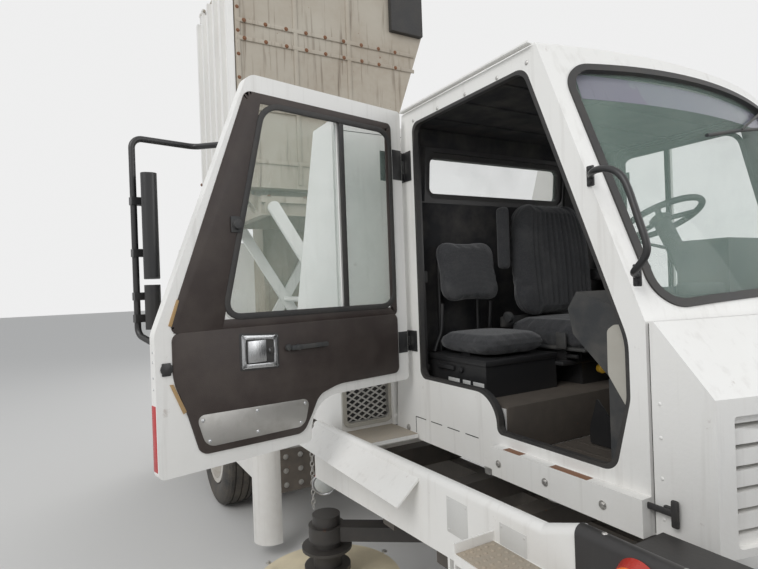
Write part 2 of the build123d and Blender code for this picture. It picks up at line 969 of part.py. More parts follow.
windshield_plane = Plane((cab_front, 0, cowl_height), x_dir=(0, 1, 0), z_dir=(cos(rake), 0, sin(rake)))
roof_bottom = roof_top - roof_wall
floor_top = cab_bottom + floor_wall
windshield_length = (roof_bottom - cowl_height) / cos(rake)
rear_window_centre = rear_window_bottom + rear_window_height / 2


def windshield_prism(shrink):
    """Prism across the raked front with the windshield's outline, drawn in by shrink"""
    with BuildPart() as prism:
        with BuildSketch(windshield_plane):
            with Locations((0, (windshield_length + windshield_low - windshield_margin) / 2)):
                RectangleRounded(
                    2 * (cab_half_width - windshield_margin - shrink),
                    windshield_length - windshield_margin - windshield_low - 2 * shrink,
                    windshield_corner - shrink,
                )
        extrude(amount=260, both=True)
    return prism.part


def rear_prism(shrink):
    """Prism through the rear wall with the rear window's outline, drawn in by shrink"""
    with BuildPart() as prism:
        with BuildSketch(Plane.YZ.offset(cab_rear_bottom)):
            with Locations((rear_window_y, rear_window_centre)):
                RectangleRounded(
                    rear_window_width - 2 * shrink, rear_window_height - 2 * shrink, rear_window_corner - shrink
                )
        extrude(amount=300)
    return prism.part


cab_outer = cab_body(0, floor_top, roof_bottom)
cab_void = cab_body(cab_wall, floor_top - 1, roof_bottom + 1)
window_cuts = windshield_prism(0) + rear_prism(0)
door_opening = opening_outline(0)
seal_opening = opening_outline(-door_seal_width)

with BuildPart() as cab_frame:
    add(cab_outer)
    add(cab_void, mode=Mode.SUBTRACT)
    add(window_cuts, mode=Mode.SUBTRACT)
    add(Pos(0, cab_half_width + 20, 0) * door_opening)
    extrude(amount=2 * cab_half_width + 40, dir=(0, -1, 0), mode=Mode.SUBTRACT)
    for sign in (-1, 1):
        with Locations((
            (sill_rear + cab_front) / 2, sign * (cab_half_width + sill_depth / 2), (cab_bottom + sill_top) / 2
        )):
            Box(cab_front - sill_rear, sill_depth, sill_top - cab_bottom)
cab_frame.part.label = "cab_frame"
export_step(cab_frame.part, "parts/cab_frame.step")

with BuildPart() as cab_roof:
    add(cab_body(0, roof_bottom, roof_top))
    chamfer(cab_roof.edges().group_by(Axis.Z)[-1], 18)
    with Locations(beacon_place):
        Cylinder(beacon_boss_diameter / 2, 2 * beacon_boss_height)
    with Locations(beacon_place):
        Cylinder(beacon_bore / 2, 400, mode=Mode.SUBTRACT)
cab_roof.part.label = "cab_roof"
export_step(cab_roof.part, "parts/cab_roof.step")

riser_rear = cab_rear_bottom + cab_wall + rear_lean(opening_hump) + 4
with BuildPart() as cab_floor:
    add(cab_body(0, cab_bottom, floor_top))
    with Locations(((riser_rear + riser_front) / 2, 0, (floor_top + riser_top) / 2)):
        Box(riser_front - riser_rear, 2 * (cab_half_width - cab_wall) - 4, riser_top - floor_top)
    for place in outrigger_places[1:]:
        for sign in (-1, 1):
            with Locations((place, sign * 560, (cab_bottom + rail_top + outrigger_height) / 2)):
                Cylinder(45, cab_bottom - rail_top - outrigger_height)
cab_floor.part.label = "cab_floor"
export_step(cab_floor.part, "parts/cab_floor.step")

glass_outer = cab_body(glass_set, floor_top, roof_bottom)
glass_inner = cab_body(glass_set + glass_thickness, floor_top - 1, roof_bottom + 1)
glass_cuts = windshield_prism(seal_width) + rear_prism(seal_width)
with BuildPart() as cab_glass:
    add(glass_outer)
    add(glass_inner, mode=Mode.SUBTRACT)
    add(glass_cuts, mode=Mode.INTERSECT)
cab_glass.part.label = "cab_glass"
export_step(cab_glass.part, "parts/cab_glass.step")

seal_outer = cab_body(-seal_lip, floor_top, roof_bottom)
seal_inner = cab_body(seal_depth, floor_top - 1, roof_bottom + 1)


# Nose with its louvred front, and the rubber seals of the cab

def nose_plan(front, height, inset):
    """Plan of the nose at a height, its front edge at front, drawn in by inset"""
    half = cab_half_width - inset
    back = cab_front + nose_gap
    with BuildSketch(Plane.XY.offset(height)) as plan:
        with BuildLine():
            rear = ThreePointArc((back, -half), (back + cab_bow, 0), (back, half))
            left = Line(rear @ 1, (front, half))
            face = ThreePointArc(left @ 1, (front + cab_bow, 0), (front, -half))
            Line(face @ 1, rear @ 0)
        make_face()
    return plan.sketch


nose_front = cab_front + nose_depth
louvre_top = louvre_low + louvre_count * louvre_pitch
louvre_half = cab_half_width - 60
recess_plans = (nose_plan(nose_front + 60, louvre_low - 12, 0), nose_plan(nose_front - recess_depth, louvre_low - 12, 0))
with BuildPart() as recess:
    add(recess_plans[0])
    extrude(amount=louvre_top - louvre_low + 14)
    add(recess_plans[1])
    extrude(amount=louvre_top - louvre_low + 14, mode=Mode.SUBTRACT)
    with BuildSketch(Plane.YZ):
        with Locations((0, (louvre_low + louvre_top) / 2)):
            RectangleRounded(2 * louvre_half, louvre_top - louvre_low + 14, 18)
    extrude(amount=nose_front + 400, mode=Mode.INTERSECT)

nose_block = nose_plan(nose_front, nose_bottom, 0)
nose_wedge = (nose_plan(nose_front, nose_top, 0), nose_plan(cab_front + nose_gap + 14, cowl_height, 0))
with BuildPart() as nose:
    add(nose_block)
    extrude(amount=nose_top - nose_bottom)
    add(nose_wedge[0])
    add(nose_wedge[1])
    loft(ruled=True)
    add(recess.part, mode=Mode.SUBTRACT)
    for count in range(louvre_count):
        with BuildSketch(Plane.YZ.offset(cab_front + nose_gap + cab_bow + 20)):
            with Locations((0, louvre_low + (count + 0.5) * louvre_pitch)):
                Rectangle(2 * louvre_half - 24, louvre_height)
        extrude(amount=300, mode=Mode.SUBTRACT)
nose.part.label = "nose"
export_step(nose.part, "parts/nose.step")

strip_block = cab_plan(10, cab_front + nose_gap, nose_bottom + 6)
with BuildPart() as strip:
    add(strip_block)
    extrude(amount=cowl_height - nose_bottom - 12)
    add(cab_body(0, cab_bottom - 10, cowl_height + 10), mode=Mode.SUBTRACT)
    with Locations((cab_front - 1000, 0, nose_top)):
        Box(2000, 2 * cab_half_width + 10, 2000, mode=Mode.SUBTRACT)

ring_cuts = windshield_prism(0) + rear_prism(0)
ring_holes = windshield_prism(seal_width) + rear_prism(seal_width)
with BuildPart() as cab_seals:
    add(seal_outer)
    add(seal_inner, mode=Mode.SUBTRACT)
    add(ring_cuts, mode=Mode.INTERSECT)
    add(ring_holes, mode=Mode.SUBTRACT)
    add(strip.part)
    for sign in (-1, 1):
        add(Pos(0, sign * (cab_half_width - door_seal_depth), 0) * door_opening)
        extrude(amount=door_seal_depth, dir=(0, sign, 0))
        add(Pos(0, sign * (cab_half_width - door_seal_depth - 1), 0) * seal_opening)
        extrude(amount=door_seal_depth + 2, dir=(0, sign, 0), mode=Mode.SUBTRACT)
cab_seals.part.label = "cab_seals"
export_step(cab_seals.part, "parts/cab_seals.step")


# Doors with their glass and mirrors

def door_plane(sign, open_angle):
    """Plane of a door at its hinge: x to its free edge, y up"""
    swing = radians(open_angle)
    return Plane(
        (door_hinge_x, sign * (cab_half_width + door_hinge_offset), 0),
        x_dir=(cos(swing), sign * sin(swing), 0),
        z_dir=(sign * sin(swing), -cos(swing), 0),
    )


door_top_front = door_length - (door_top - door_bend) * door_slope


def door_outline():
    """Outline of the door panel in its own plane"""
    with BuildLine() as outline:
        FilletPolyline(
            (door_start, opening_hump - 6),
            (notch_end, opening_hump - 6),
            (notch_end, door_bottom),
            (door_length, door_bottom),
            (door_length, door_bend),
            (door_top_front, door_top),
            (door_start, door_top),
            radius=[20, door_notch_radius, 22, 22, 90, 60, 20],
            close=True,
        )
    return outline.line


def door_window(shrink):
    """Outline of the door's window, drawn in by shrink"""
    with BuildLine() as outline:
        FilletPolyline(
            (window_rear + shrink, window_sill + shrink),
            (window_front_low - shrink, window_sill + shrink),
            (window_front_high - shrink, window_top - shrink),
            (window_rear + shrink, window_top - shrink),
            radius=70 - shrink,
            close=True,
        )
    return outline.line


panel_edge = door_outline()
window_edge = door_window(0)
window_middle = (window_sill + window_top) / 2

for side, sign in SIDES:
    plane = door_plane(sign, door_open_angle if side == "right" else 0)
    out = -sign
    inner = out * (door_seal_gap - door_hinge_offset)
    with BuildPart() as door:
        with BuildSketch(plane.offset(inner)):
            add(panel_edge)
            make_face()
        extrude(amount=out * door_thickness)
        with BuildSketch(plane.offset(inner)):
            add(window_edge)
            make_face()
        extrude(amount=out * door_thickness, mode=Mode.SUBTRACT)
        with BuildSketch(plane.offset(inner + out * 12)):
            with Locations((divider_place, window_middle)):
                Rectangle(divider_width, window_top - window_sill + 10)
        extrude(amount=out * 22)
        for height in door_hinge_heights:
            with BuildSketch(Plane(plane.origin, x_dir=plane.x_dir, z_dir=(0, 0, 1)).offset(height)):
                Circle(hinge_barrel_diameter / 2)
                with Locations((door_start, 0)):
                    Rectangle(2 * door_start, hinge_barrel_diameter)
            extrude(amount=hinge_length)
    door.part.label = f"door_{side}"
    export_step(door.part, f"parts/door_{side}.step")

    with BuildPart() as door_glass:
        with BuildSketch(plane.offset(inner + out * 20)):
            add(window_edge)
            make_face()
            with Locations((divider_place, window_middle)):
                Rectangle(divider_width, window_top - window_sill + 10, mode=Mode.SUBTRACT)
        extrude(amount=out * glass_thickness)
    door_glass.part.label = f"door_glass_{side}"
    export_step(door_glass.part, f"parts/door_glass_{side}.step")

    skin = inner + out * door_thickness
    stand = skin + out * mirror_stand
    arm_points = [
        plane.from_local_coords(point)
        for point in (
            (mirror_foot_high, mirror_arm_top - 20, skin + out * mirror_foot),
            (mirror_foot_high + 60, mirror_arm_top, stand),
            (mirror_reach, mirror_arm_top, stand),
            (mirror_reach, mirror_arm_bottom, stand),
            (mirror_foot_low, mirror_arm_bottom - 60, skin + out * mirror_foot),
        )
    ]
    with BuildPart() as mirror:
        with BuildLine():
            arm_path = FilletPolyline(*arm_points, radius=mirror_bend)
        with BuildSketch(Plane(arm_path @ 0, z_dir=arm_path % 0)):
            Circle(mirror_tube / 2)
        sweep()
        for place, height in ((mirror_foot_high, mirror_arm_top - 20), (mirror_foot_low, mirror_arm_bottom - 60)):
            with BuildSketch(plane.offset(skin)):
                with Locations((place, height)):
                    Circle(mirror_tube)
            extrude(amount=out * (mirror_foot + 8))
        head_centre = plane.from_local_coords((mirror_reach - mirror_offset, 0, stand))
        tube_centre = plane.from_local_coords((mirror_reach, 0, stand))
        head_plane = Plane(head_centre, x_dir=plane.z_dir.rotate(Axis.Z, sign * mirror_turn), z_dir=(0, 0, 1))
        clamp_plane = Plane((head_centre + tube_centre) / 2, x_dir=plane.x_dir, z_dir=(0, 0, 1))
        for low, height, width in mirror_heads:
            with BuildSketch(head_plane.offset(low)):
                RectangleRounded(width, mirror_depth, mirror_depth / 2.5)
            extrude(amount=height)
            for share in (0.25, 0.75):
                with BuildSketch(clamp_plane.offset(low + share * height - mirror_clamp / 2)):
                    Rectangle(mirror_offset + mirror_tube, mirror_clamp)
                extrude(amount=mirror_clamp)
    mirror.part.label = f"mirror_{side}"
    export_step(mirror.part, f"parts/mirror_{side}.step")


# Cab interior

dash_half = cab_half_width - cab_wall - 4
dash_back = cab_front - cab_wall - 6
dash_edge = dash_back - dash_depth
column_axis = Vector(-cos(column_tilt), 0, sin(column_tilt))
wheel_centre = Vector(steering_wheel_x, steering_y, steering_wheel_height)
column_foot = wheel_centre - column_axis * (column_length + 20)

with BuildPart() as dash:
    with BuildSketch(Plane.XZ.offset(dash_half)):
        with BuildLine():
            Polyline(
                (dash_edge + 40, dash_top - 150), (dash_edge + 20, dash_top - 60), (dash_edge + 60, dash_top),
                (dash_back - 80, dash_top - 50), (dash_back, dash_top - 110), (dash_back, floor_top + dash_foot),
                (dash_back - 110, floor_top + dash_foot), (dash_back - 110, dash_low), close=True,
            )
        make_face()
    extrude(amount=-2 * dash_half)
    with Locations((dash_edge + 60 + binnacle_depth / 2, steering_y, dash_top - 50 + binnacle_height / 2)):
        Box(binnacle_depth, binnacle_width, binnacle_height)
    with Locations((column_foot.X + 30, steering_y, column_foot.Z + shroud_height / 3)):
        Box(shroud_length, shroud_width, shroud_height)
    with BuildSketch(Plane(column_foot, x_dir=(0, 1, 0), z_dir=column_axis)):
        Circle(column_radius)
    extrude(amount=column_length)
    for sign in (-1, 1):
        with Locations((dash_back - 60, sign * (dash_half - dash_leg / 2), (floor_top + dash_low) / 2)):
            Box(dash_leg, dash_leg, dash_low - floor_top)
dash.part.label = "dash"
export_step(dash.part, "parts/dash.step")

wheel_plane = Plane(wheel_centre, x_dir=(0, 1, 0), z_dir=column_axis)
with BuildPart() as steering_wheel:
    with BuildSketch(Plane(wheel_centre, x_dir=(0, 1, 0), z_dir=wheel_plane.y_dir)):
        with Locations((steering_wheel_diameter / 2 - steering_rim / 2, 0)):
            Circle(steering_rim / 2)
    revolve(axis=Axis(wheel_centre, column_axis))
    with BuildSketch(wheel_plane.offset(-steering_rim / 2 + 2)):
        Circle(hub_cap_radius)
        for turn in (90, 210, 330):
            with Locations(Rotation(0, 0, turn)):
                with Locations((steering_wheel_diameter / 4, 0)):
                    Rectangle(steering_wheel_diameter / 2 - steering_spoke, steering_spoke)
    extrude(amount=steering_rim / 2 + 2)
steering_wheel.part.label = "steering_wheel"
export_step(steering_wheel.part, "parts/steering_wheel.step")


def seat_rear(height):
    """Place of a seat's rear face at a height, clear of the leaning rear wall"""
    return cab_rear_bottom + cab_wall + rear_lean(height) + seat_wall_gap


driver_seat_rear = seat_rear(driver_back_top)
jump_seat_rear = seat_rear(jump_back_top)
driver_middle = driver_seat_rear + driver_seat_depth / 2
jump_middle = jump_seat_rear + jump_seat_depth / 2
back_tube_top = jump_back_top - 70
jump_pad_rear = jump_seat_rear + frame_tube / 2
back_slope = seat_back_lean / (jump_back_top - jump_back_low)
clip_front = jump_pad_rear + back_slope * (jump_back_top - back_tube_top)

with BuildPart() as seat_frames:
    with Locations((driver_middle, driver_seat_y, (riser_top + driver_cushion_low) / 2)):
        Box(pedestal, pedestal, driver_cushion_low - riser_top)
    with Locations((jump_middle, jump_seat_y, riser_top + seat_box_height / 2)):
        Box(seat_box_depth, seat_box_width, seat_box_height)
    with Locations((jump_middle, jump_seat_y, (riser_top + seat_box_height + jump_cushion_low) / 2)):
        Box(60, 0.7 * jump_seat_width, jump_cushion_low - riser_top - seat_box_height)
    for place in (jump_seat_y - 0.3 * jump_seat_width, jump_seat_y + 0.3 * jump_seat_width):
        with Locations((jump_seat_rear - 2, place, (riser_top + back_tube_top) / 2)):
            Cylinder(frame_tube / 2, back_tube_top - riser_top)
        with Locations(((jump_seat_rear + clip_front) / 2, place, back_tube_top - frame_tube / 2)):
            Box(clip_front - jump_seat_rear, frame_tube, frame_tube)
        with Locations(((jump_seat_rear + jump_middle) / 2, place, riser_top + seat_box_height - frame_tube / 2)):
            Box(jump_middle - jump_seat_rear, frame_tube, frame_tube)
seat_frames.part.label = "seat_frames"
export_step(seat_frames.part, "parts/seat_frames.step")


def seat_pads(rear, centre_y, size, thickness, low, back_low, back_top):
    """Cushion and leaning backrest of a seat as two plain soft solids"""
    depth, width = size
    with BuildPart() as pads:
        with Locations((rear + depth / 2, centre_y, low + thickness / 2)):
            Box(depth, width, thickness)
        with BuildSketch(Plane.XZ.offset(-centre_y - width / 2)):
            with BuildLine():
                Polyline(
                    (rear + seat_back_lean, back_low),
                    (rear + seat_back_lean + seat_back_thickness, back_low),
                    (rear + seat_back_thickness, back_top),
                    (rear, back_top),
                    close=True,
                )
            make_face()
        extrude(amount=width)
    return pads.part


driver_pads = seat_pads(
    driver_seat_rear + 10, driver_seat_y, (driver_seat_depth, driver_seat_width), driver_cushion,
    driver_cushion_low, driver_cushion_low + driver_cushion + 10, driver_back_top,
)
with BuildPart() as driver_seat:
    add(driver_pads)
driver_seat.part.label = "driver_seat"
export_step(driver_seat.part, "parts/driver_seat.step")

jump_pads = seat_pads(
    jump_pad_rear, jump_seat_y, (jump_seat_depth, jump_seat_width), jump_cushion,
    jump_cushion_low, jump_back_low, jump_back_top,
)
with BuildPart() as jump_seat:
    add(jump_pads)
jump_seat.part.label = "jump_seat"
export_step(jump_seat.part, "parts/jump_seat.step")


# Cabinets behind the cab, with their intake grilles

grille_middle = (grille_low + grille_high) / 2
grille_width = grille_outer_y - grille_inner_y

with BuildPart() as cabinets:
    for sign in (-1, 1):
        with BuildSketch(Plane.XZ.offset(-sign * cabinet_side)):
            with BuildLine():
                Polyline(
                    (cabinet_front, cabinet_bottom), (cabinet_front, cabinet_top), (cabinet_rear_top, cabinet_top),
                    (cabinet_rear_low, cabinet_bend), (cabinet_rear_low, cabinet_bottom), close=True,
                )
            make_face()
        extrude(amount=sign * cabinet_width)
        with BuildSketch(Plane.YZ.offset(cabinet_front)):
            with Locations((sign * (grille_inner_y + grille_outer_y) / 2, grille_middle)):
                RectangleRounded(grille_width, grille_high - grille_low, 35)
        extrude(amount=-grille_depth, mode=Mode.SUBTRACT)
        with Locations((cabinet_foot_x, sign * (cabinet_side - 200), (cabinet_bottom + rail_top + 60) / 2)):
            Box(110, 120, cabinet_bottom - rail_top - 60)
        with Locations((cabinet_foot_x, sign * (cabinet_side - 140 + rail_centre) / 2, rail_top + 30)):
            Box(110, cabinet_side - 140 - rail_centre, 60)
cabinets.part.label = "cabinets"
export_step(cabinets.part, "parts/cabinets.step")

grille_thickness = 5
with BuildPart() as intake_grilles:
    for sign in (-1, 1):
        with BuildSketch(Plane.YZ.offset(cabinet_front - 20)):
            with Locations((sign * (grille_inner_y + grille_outer_y) / 2, grille_middle)):
                RectangleRounded(grille_width, grille_high - grille_low, 35)
                RectangleRounded(grille_width - 30, grille_high - grille_low - 30, 20, mode=Mode.SUBTRACT)
                for turn in (-32, 32):
                    with GridLocations(1, grille_pitch, 1, 15):
                        Rectangle(2 * grille_width, grille_strand, rotation=turn)
                RectangleRounded(grille_width, grille_high - grille_low, 35, mode=Mode.INTERSECT)
        extrude(amount=grille_thickness)
intake_grilles.part.label = "intake_grilles"
export_step(intake_grilles.part, "parts/intake_grilles.step")


# Side beams with their shelves, cover plates and steps

step_rear = beam_front - upper_step_gap - step_length
cover_rear = beam_rear + cover_start
cover_top = beam_top_rear - 10


def beam_low(place):
    """Height of a side beam's lower edge at a place along it"""
    share = (place - beam_rear) / (beam_front - beam_rear)
    return beam_bottom_rear + share * (beam_bottom_front - beam_bottom_rear)


with BuildPart() as side_beams:
    for sign in (-1, 1):
        with BuildSketch(Plane.XZ.offset(-sign * beam_outer)):
            with BuildLine():
                Polyline(
                    (beam_rear, beam_bottom_rear), (beam_rear, beam_top_rear), (beam_front - beam_knee_reach, beam_knee_top),
                    (beam_front, beam_top_front), (beam_front, beam_bottom_front), close=True,
                )
            make_face()
        extrude(amount=sign * beam_thickness)
    top_edges = side_beams.edges().filter_by(lambda edge: edge.center().Z > beam_top_rear and edge.length > 2 * beam_thickness)
    fillet(top_edges, beam_round)
    for sign in (-1, 1):
        with Locations((
            cabinet_front + shelf_length / 2, sign * (cab_half_width + 10 + beam_inner) / 2, shelf_top - shelf_thickness / 2
        )):
            Box(shelf_length, beam_inner - cab_half_width - 10, shelf_thickness)
        with BuildSketch(Plane.YZ.offset(cover_rear)):
            with BuildLine():
                Polyline(
                    (sign * (beam_outer - 1), cover_top), (sign * (beam_outer + cover_reach), cover_top - cover_drop),
                    (sign * (beam_outer + cover_reach - cover_thickness), cover_top - cover_drop - cover_thickness),
                    (sign * (beam_outer - 1), cover_top - 2 * cover_thickness), close=True,
                )
            make_face()
        extrude(amount=cover_length)
        tray_middle = sign * (beam_outer + upper_step_reach / 2)
        with Locations((step_rear + step_length / 2, tray_middle, upper_step_top - step_thickness / 2)):
            Box(step_length, upper_step_reach, step_thickness)
        for end in (step_rear + upper_step_wall / 2, step_rear + step_length - upper_step_wall / 2):
            with Locations((end, tray_middle, upper_step_top + (upper_step_lip - upper_step_skirt) / 2)):
                Box(upper_step_wall, upper_step_reach, upper_step_lip + upper_step_skirt)
        for step_start, height in step_table:
            place = step_rear + step_start + step_length / 2
            with Locations((place, sign * (beam_outer - step_depth / 2), height - step_thickness / 2)):
                Box(step_length, step_depth, step_thickness)
            for end in (-1, 1):
                low = height - step_thickness
                post = place + end * (step_length - step_hanger) / 2
                with Locations((post, sign * (beam_outer - beam_thickness / 2), (low + beam_low(post) + 4) / 2)):
                    Box(step_hanger, beam_thickness, beam_low(post) + 4 - low)
side_beams.part.label = "side_beams"
export_step(side_beams.part, "parts/side_beams.step")


# Black front fenders with their raised rims, bumper and deck

fender_outer = overall_width / 2 - 10
rim_inner = fender_outer - beam_thickness
bumper_rear = frame_front + bumper_gap
bumper_front = bumper_rear + bumper_depth


def fender_outline(inset, top):
    """Side view of a fender without its arch, drawn in by inset, up to top"""
    nose = fender_nose + inset / 2
    front = bumper_front - inset
    with BuildSketch(Plane.XZ) as outline:
        with BuildLine():
            Polyline(
                (beam_front + inset, fender_low - inset), (beam_front + inset, top), (front - nose, top),
                (front, top - nose), (front, fender_low - inset), close=True,
            )
        make_face()
    return outline.sketch


fender_skin = fender_outline(0, fender_deck)
fender_hollow = fender_outline(fender_wall, fender_deck - fender_wall)
rim_height = fender_top - fender_deck + fender_wall
fender_width = fender_outer - fender_inner

with BuildPart() as front_bumper:
    for sign in (-1, 1):
        add(Pos(0, sign * fender_outer, 0) * fender_skin)
        extrude(amount=fender_width, dir=(0, -sign, 0))
        add(Pos(0, sign * (fender_outer - fender_wall), 0) * fender_hollow)
        extrude(amount=fender_width - 2 * fender_wall, dir=(0, -sign, 0), mode=Mode.SUBTRACT)
        with BuildSketch(Plane.YZ.offset(beam_front)):
            with Locations((sign * (fender_outer - beam_thickness / 2), fender_top - rim_height / 2)):
                RectangleRounded(beam_thickness, rim_height, beam_round)
        extrude(amount=bumper_front - fender_nose - beam_front)
        with BuildSketch(Plane.XZ.offset(-sign * fender_outer)):
            with Locations((front_axle, hub_height)):
                Circle(arch_radius)
        extrude(amount=sign * (fender_width + 1), mode=Mode.SUBTRACT)
        with Locations((bumper_front, sign * headlamp_y, headlamp_z)):
            Box(2 * headlamp_depth, headlamp_width, headlamp_height, mode=Mode.SUBTRACT)
        with Locations((deck_rear + 90, sign * rail_centre, (rail_top + deck_height) / 2)):
            Box(100, rail_flange, deck_height - rail_top)
        with Locations((frame_front + bumper_gap / 2, sign * rail_gap / 2, rail_middle)):
            Box(bumper_gap, 100, 160)
    with Locations(((bumper_front + bumper_rear) / 2, 0, (bumper_low + deck_height) / 2)):
        Box(bumper_depth, 2 * bumper_half, deck_height - bumper_low)
    with Locations(((bumper_front + deck_rear) / 2, 0, deck_height + deck_thickness / 2)):
        Box(bumper_front - deck_rear, 2 * fender_inner, deck_thickness)
    with Locations((bumper_front - deck_thickness / 2, 0, (deck_height + apron_top) / 2)):
        Box(deck_thickness, 2 * fender_inner, apron_top - deck_height)
    mouth_top = rail_middle + tow_plate_thickness
    with Locations((frame_front + tow_eye_reach, 0, (bumper_low + mouth_top) / 2 - 50)):
        Box(300, 2 * tow_eye_radius + 30, mouth_top - bumper_low + 100, mode=Mode.SUBTRACT)
front_bumper.part.label = "front_bumper"
export_step(front_bumper.part, "parts/front_bumper.step")

lamp_x, lamp_y, lamp_z = worklamp_place
bracket_start = outrigger_places[0] - outrigger_width / 2
with BuildPart() as lamps:
    for sign in (-1, 1):
        with Locations((bumper_front - headlamp_depth / 2, sign * headlamp_y, headlamp_z)):
            Box(headlamp_depth, headlamp_width, headlamp_height)
        marker_plane = Plane((marker_x, sign * fender_outer, marker_height), x_dir=(1, 0, 0), z_dir=(0, sign, 0))
        with BuildSketch(marker_plane):
            Circle(marker_radius)
        extrude(amount=marker_depth, taper=20)
        with Locations((
            rear_body_rear - tail_lamp_depth / 2, sign * (rear_body_half - tail_lamp_width / 2 - 30), tail_lamp_z
        )):
            Box(tail_lamp_depth, tail_lamp_width, tail_lamp_height)
        beam_axis = Plane((lamp_x, sign * lamp_y, lamp_z), x_dir=(0, 0, 1), z_dir=(0.8, sign * 0.55, -0.2))
        with BuildSketch(beam_axis):
            Circle(worklamp_radius)
        extrude(amount=worklamp_depth / 2, both=True)
        with Locations(((lamp_x + bracket_start) / 2, sign * (lamp_y - worklamp_radius / 2), rail_top + worklamp_bracket / 2)):
            Box(bracket_start - lamp_x, worklamp_bracket, worklamp_bracket)
lamps.part.label = "lamps"
export_step(lamps.part, "parts/lamps.step")


# Hopper with its ribbed dump door

hopper_rear = hopper_front - hopper_length
hopper_middle = (hopper_front + hopper_rear) / 2


def hopper_section(inset):
    """Section of the hopper drawn in by inset: upright right wall, sloped left floor"""
    with BuildSketch(Plane.YZ) as section:
        with BuildLine():
            Polyline(
                (hopper_right, lip_height - 120),
                (hopper_right, hopper_top - 120),
                (hopper_right + 120, hopper_top),
                (hopper_left - 60, hopper_top),
                (hopper_left, hopper_top - 60),
                (hopper_left, hopper_knee),
                (hopper_foot, hopper_bottom),
                (hopper_right + 90, hopper_bottom),
                close=True,
            )
        make_face()
        if inset:
            offset(amount=-inset, kind=Kind.INTERSECTION)
    return section.sketch


hopper_skin = hopper_section(0)
hopper_inside = hopper_section(hopper_wall)
dump_opening_top = hopper_top - 260
dump_opening_middle = (lip_height + dump_opening_top) / 2
lug_places = (hopper_front - 180, hopper_rear + 180)
lug_thickness = 40
eye_width = 30

with BuildPart() as hopper:
    add(Pos(hopper_rear, 0, 0) * hopper_skin)
    extrude(amount=hopper_length, dir=(1, 0, 0))
    add(Pos(hopper_rear + hopper_wall, 0, 0) * hopper_inside)
    extrude(amount=hopper_length - 2 * hopper_wall, dir=(1, 0, 0), mode=Mode.SUBTRACT)
    with Locations((hopper_middle, hopper_right, dump_opening_middle)):
        Box(hopper_length - 2 * hopper_wall - 40, 4 * hopper_wall, dump_opening_top - lip_height, mode=Mode.SUBTRACT)
    with Locations((hopper_rear, (hopper_left + hopper_right) / 2, intake_centre)):
        Box(4 * hopper_wall, intake_width, intake_height, mode=Mode.SUBTRACT)
    floor_run = (dump_pivot_y + 60, hopper_foot - 30)
    for place in lug_places:
        with Locations((place, (floor_run[0] + floor_run[1]) / 2, hopper_bottom - floor_beam_height / 2)):
            Box(floor_beam_width, floor_run[1] - floor_run[0], floor_beam_height)
        with BuildSketch(Plane.YZ.offset(place - lug_thickness / 2)):
            with Locations((dump_pivot_y, dump_pivot_height)):
                Circle(dump_pin_diameter)
            with Locations((dump_pivot_y, (dump_pivot_height + hopper_bottom) / 2)):
                Rectangle(2 * dump_pin_diameter, hopper_bottom - dump_pivot_height)
            with Locations((dump_pivot_y, dump_pivot_height)):
                Circle(dump_pin_diameter / 2 + pin_fit, mode=Mode.SUBTRACT)
        extrude(amount=lug_thickness)
    for place in dump_cylinder_places:
        for step in (-1, 1):
            with BuildSketch(Plane.YZ.offset(place + step * lug_step - lug_wall / 2)):
                with Locations((dump_eye_y, dump_eye_height)):
                    Circle(eye_diameter / 2)
                with Locations((dump_eye_y, (dump_eye_height + hopper_bottom) / 2)):
                    Rectangle(eye_diameter, hopper_bottom - dump_eye_height)
            extrude(amount=lug_wall)
    for place in (hopper_rear + 150, hopper_front - 150):
        with Locations((place, dump_hinge_y + 12, dump_hinge_height)):
            Box(40, 36, 60)
        with BuildSketch(Plane.YZ.offset(place - 75)):
            with Locations((dump_hinge_y, dump_hinge_height)):
                Circle(9)
        extrude(amount=150)
hopper.part.label = "hopper"
export_step(hopper.part, "parts/hopper.step")

door_low = lip_height - 40
door_high = dump_opening_top + 60
door_height = door_high - door_low
rib_spacing = (hopper_length - rib_width) / (rib_count - 1)
with BuildPart() as dump_door:
    with Locations((hopper_middle, hopper_right - dump_door_gap - dump_door_skin / 2, (door_low + door_high) / 2)):
        Box(hopper_length, dump_door_skin, door_height)
    for count in range(rib_count):
        rib_x = hopper_rear + rib_width / 2 + count * rib_spacing
        with Locations((rib_x, hopper_right - dump_door_gap - dump_door_skin - rib_depth / 2, (door_low + door_high) / 2)):
            Box(rib_width, rib_depth, door_height)
    for place in (hopper_rear + 150, hopper_front - 150):
        for step in (-1, 1):
            with BuildSketch(Plane.YZ.offset(place + step * 40 - 14)):
                with Locations((dump_hinge_y, dump_hinge_height)):
                    Circle(22)
                with Locations((dump_hinge_y, (dump_hinge_height + door_high) / 2 - 10)):
                    Rectangle(30, dump_hinge_height - door_high + 20)
                with Locations((dump_hinge_y, dump_hinge_height)):
                    Circle(10, mode=Mode.SUBTRACT)
            extrude(amount=28)
dump_door.part.label = "dump_door"
export_step(dump_door.part, "parts/dump_door.step")


# Hopper lift: two crossed pairs of arms between the frame and the lift table

upper_pivot_height = table_bottom + table_pivot_rise
raised_rise = upper_pivot_height - lower_pivot_height
lift_angle = asin(raised_rise / arm_length)
stowed_angle = asin((raised_rise - lift_travel) / arm_length)
far_y = pivot_y + arm_length * cos(lift_angle)
middle_y = (pivot_y + far_y) / 2
middle_height = (lower_pivot_height + upper_pivot_height) / 2


def arm_face(start, end):
    """Side view of one scissor arm between two pivots, with rounded ends"""
    run = hypot(end[0] - start[0], end[1] - start[1])
    tilt = degrees(atan2(end[1] - start[1], end[0] - start[0]))
    with BuildSketch(Plane.YZ) as face:
        with Locations(((start[0] + end[0]) / 2, (start[1] + end[1]) / 2)):
            SlotCenterToCenter(run, arm_depth, rotation=tilt)
    return face.sketch


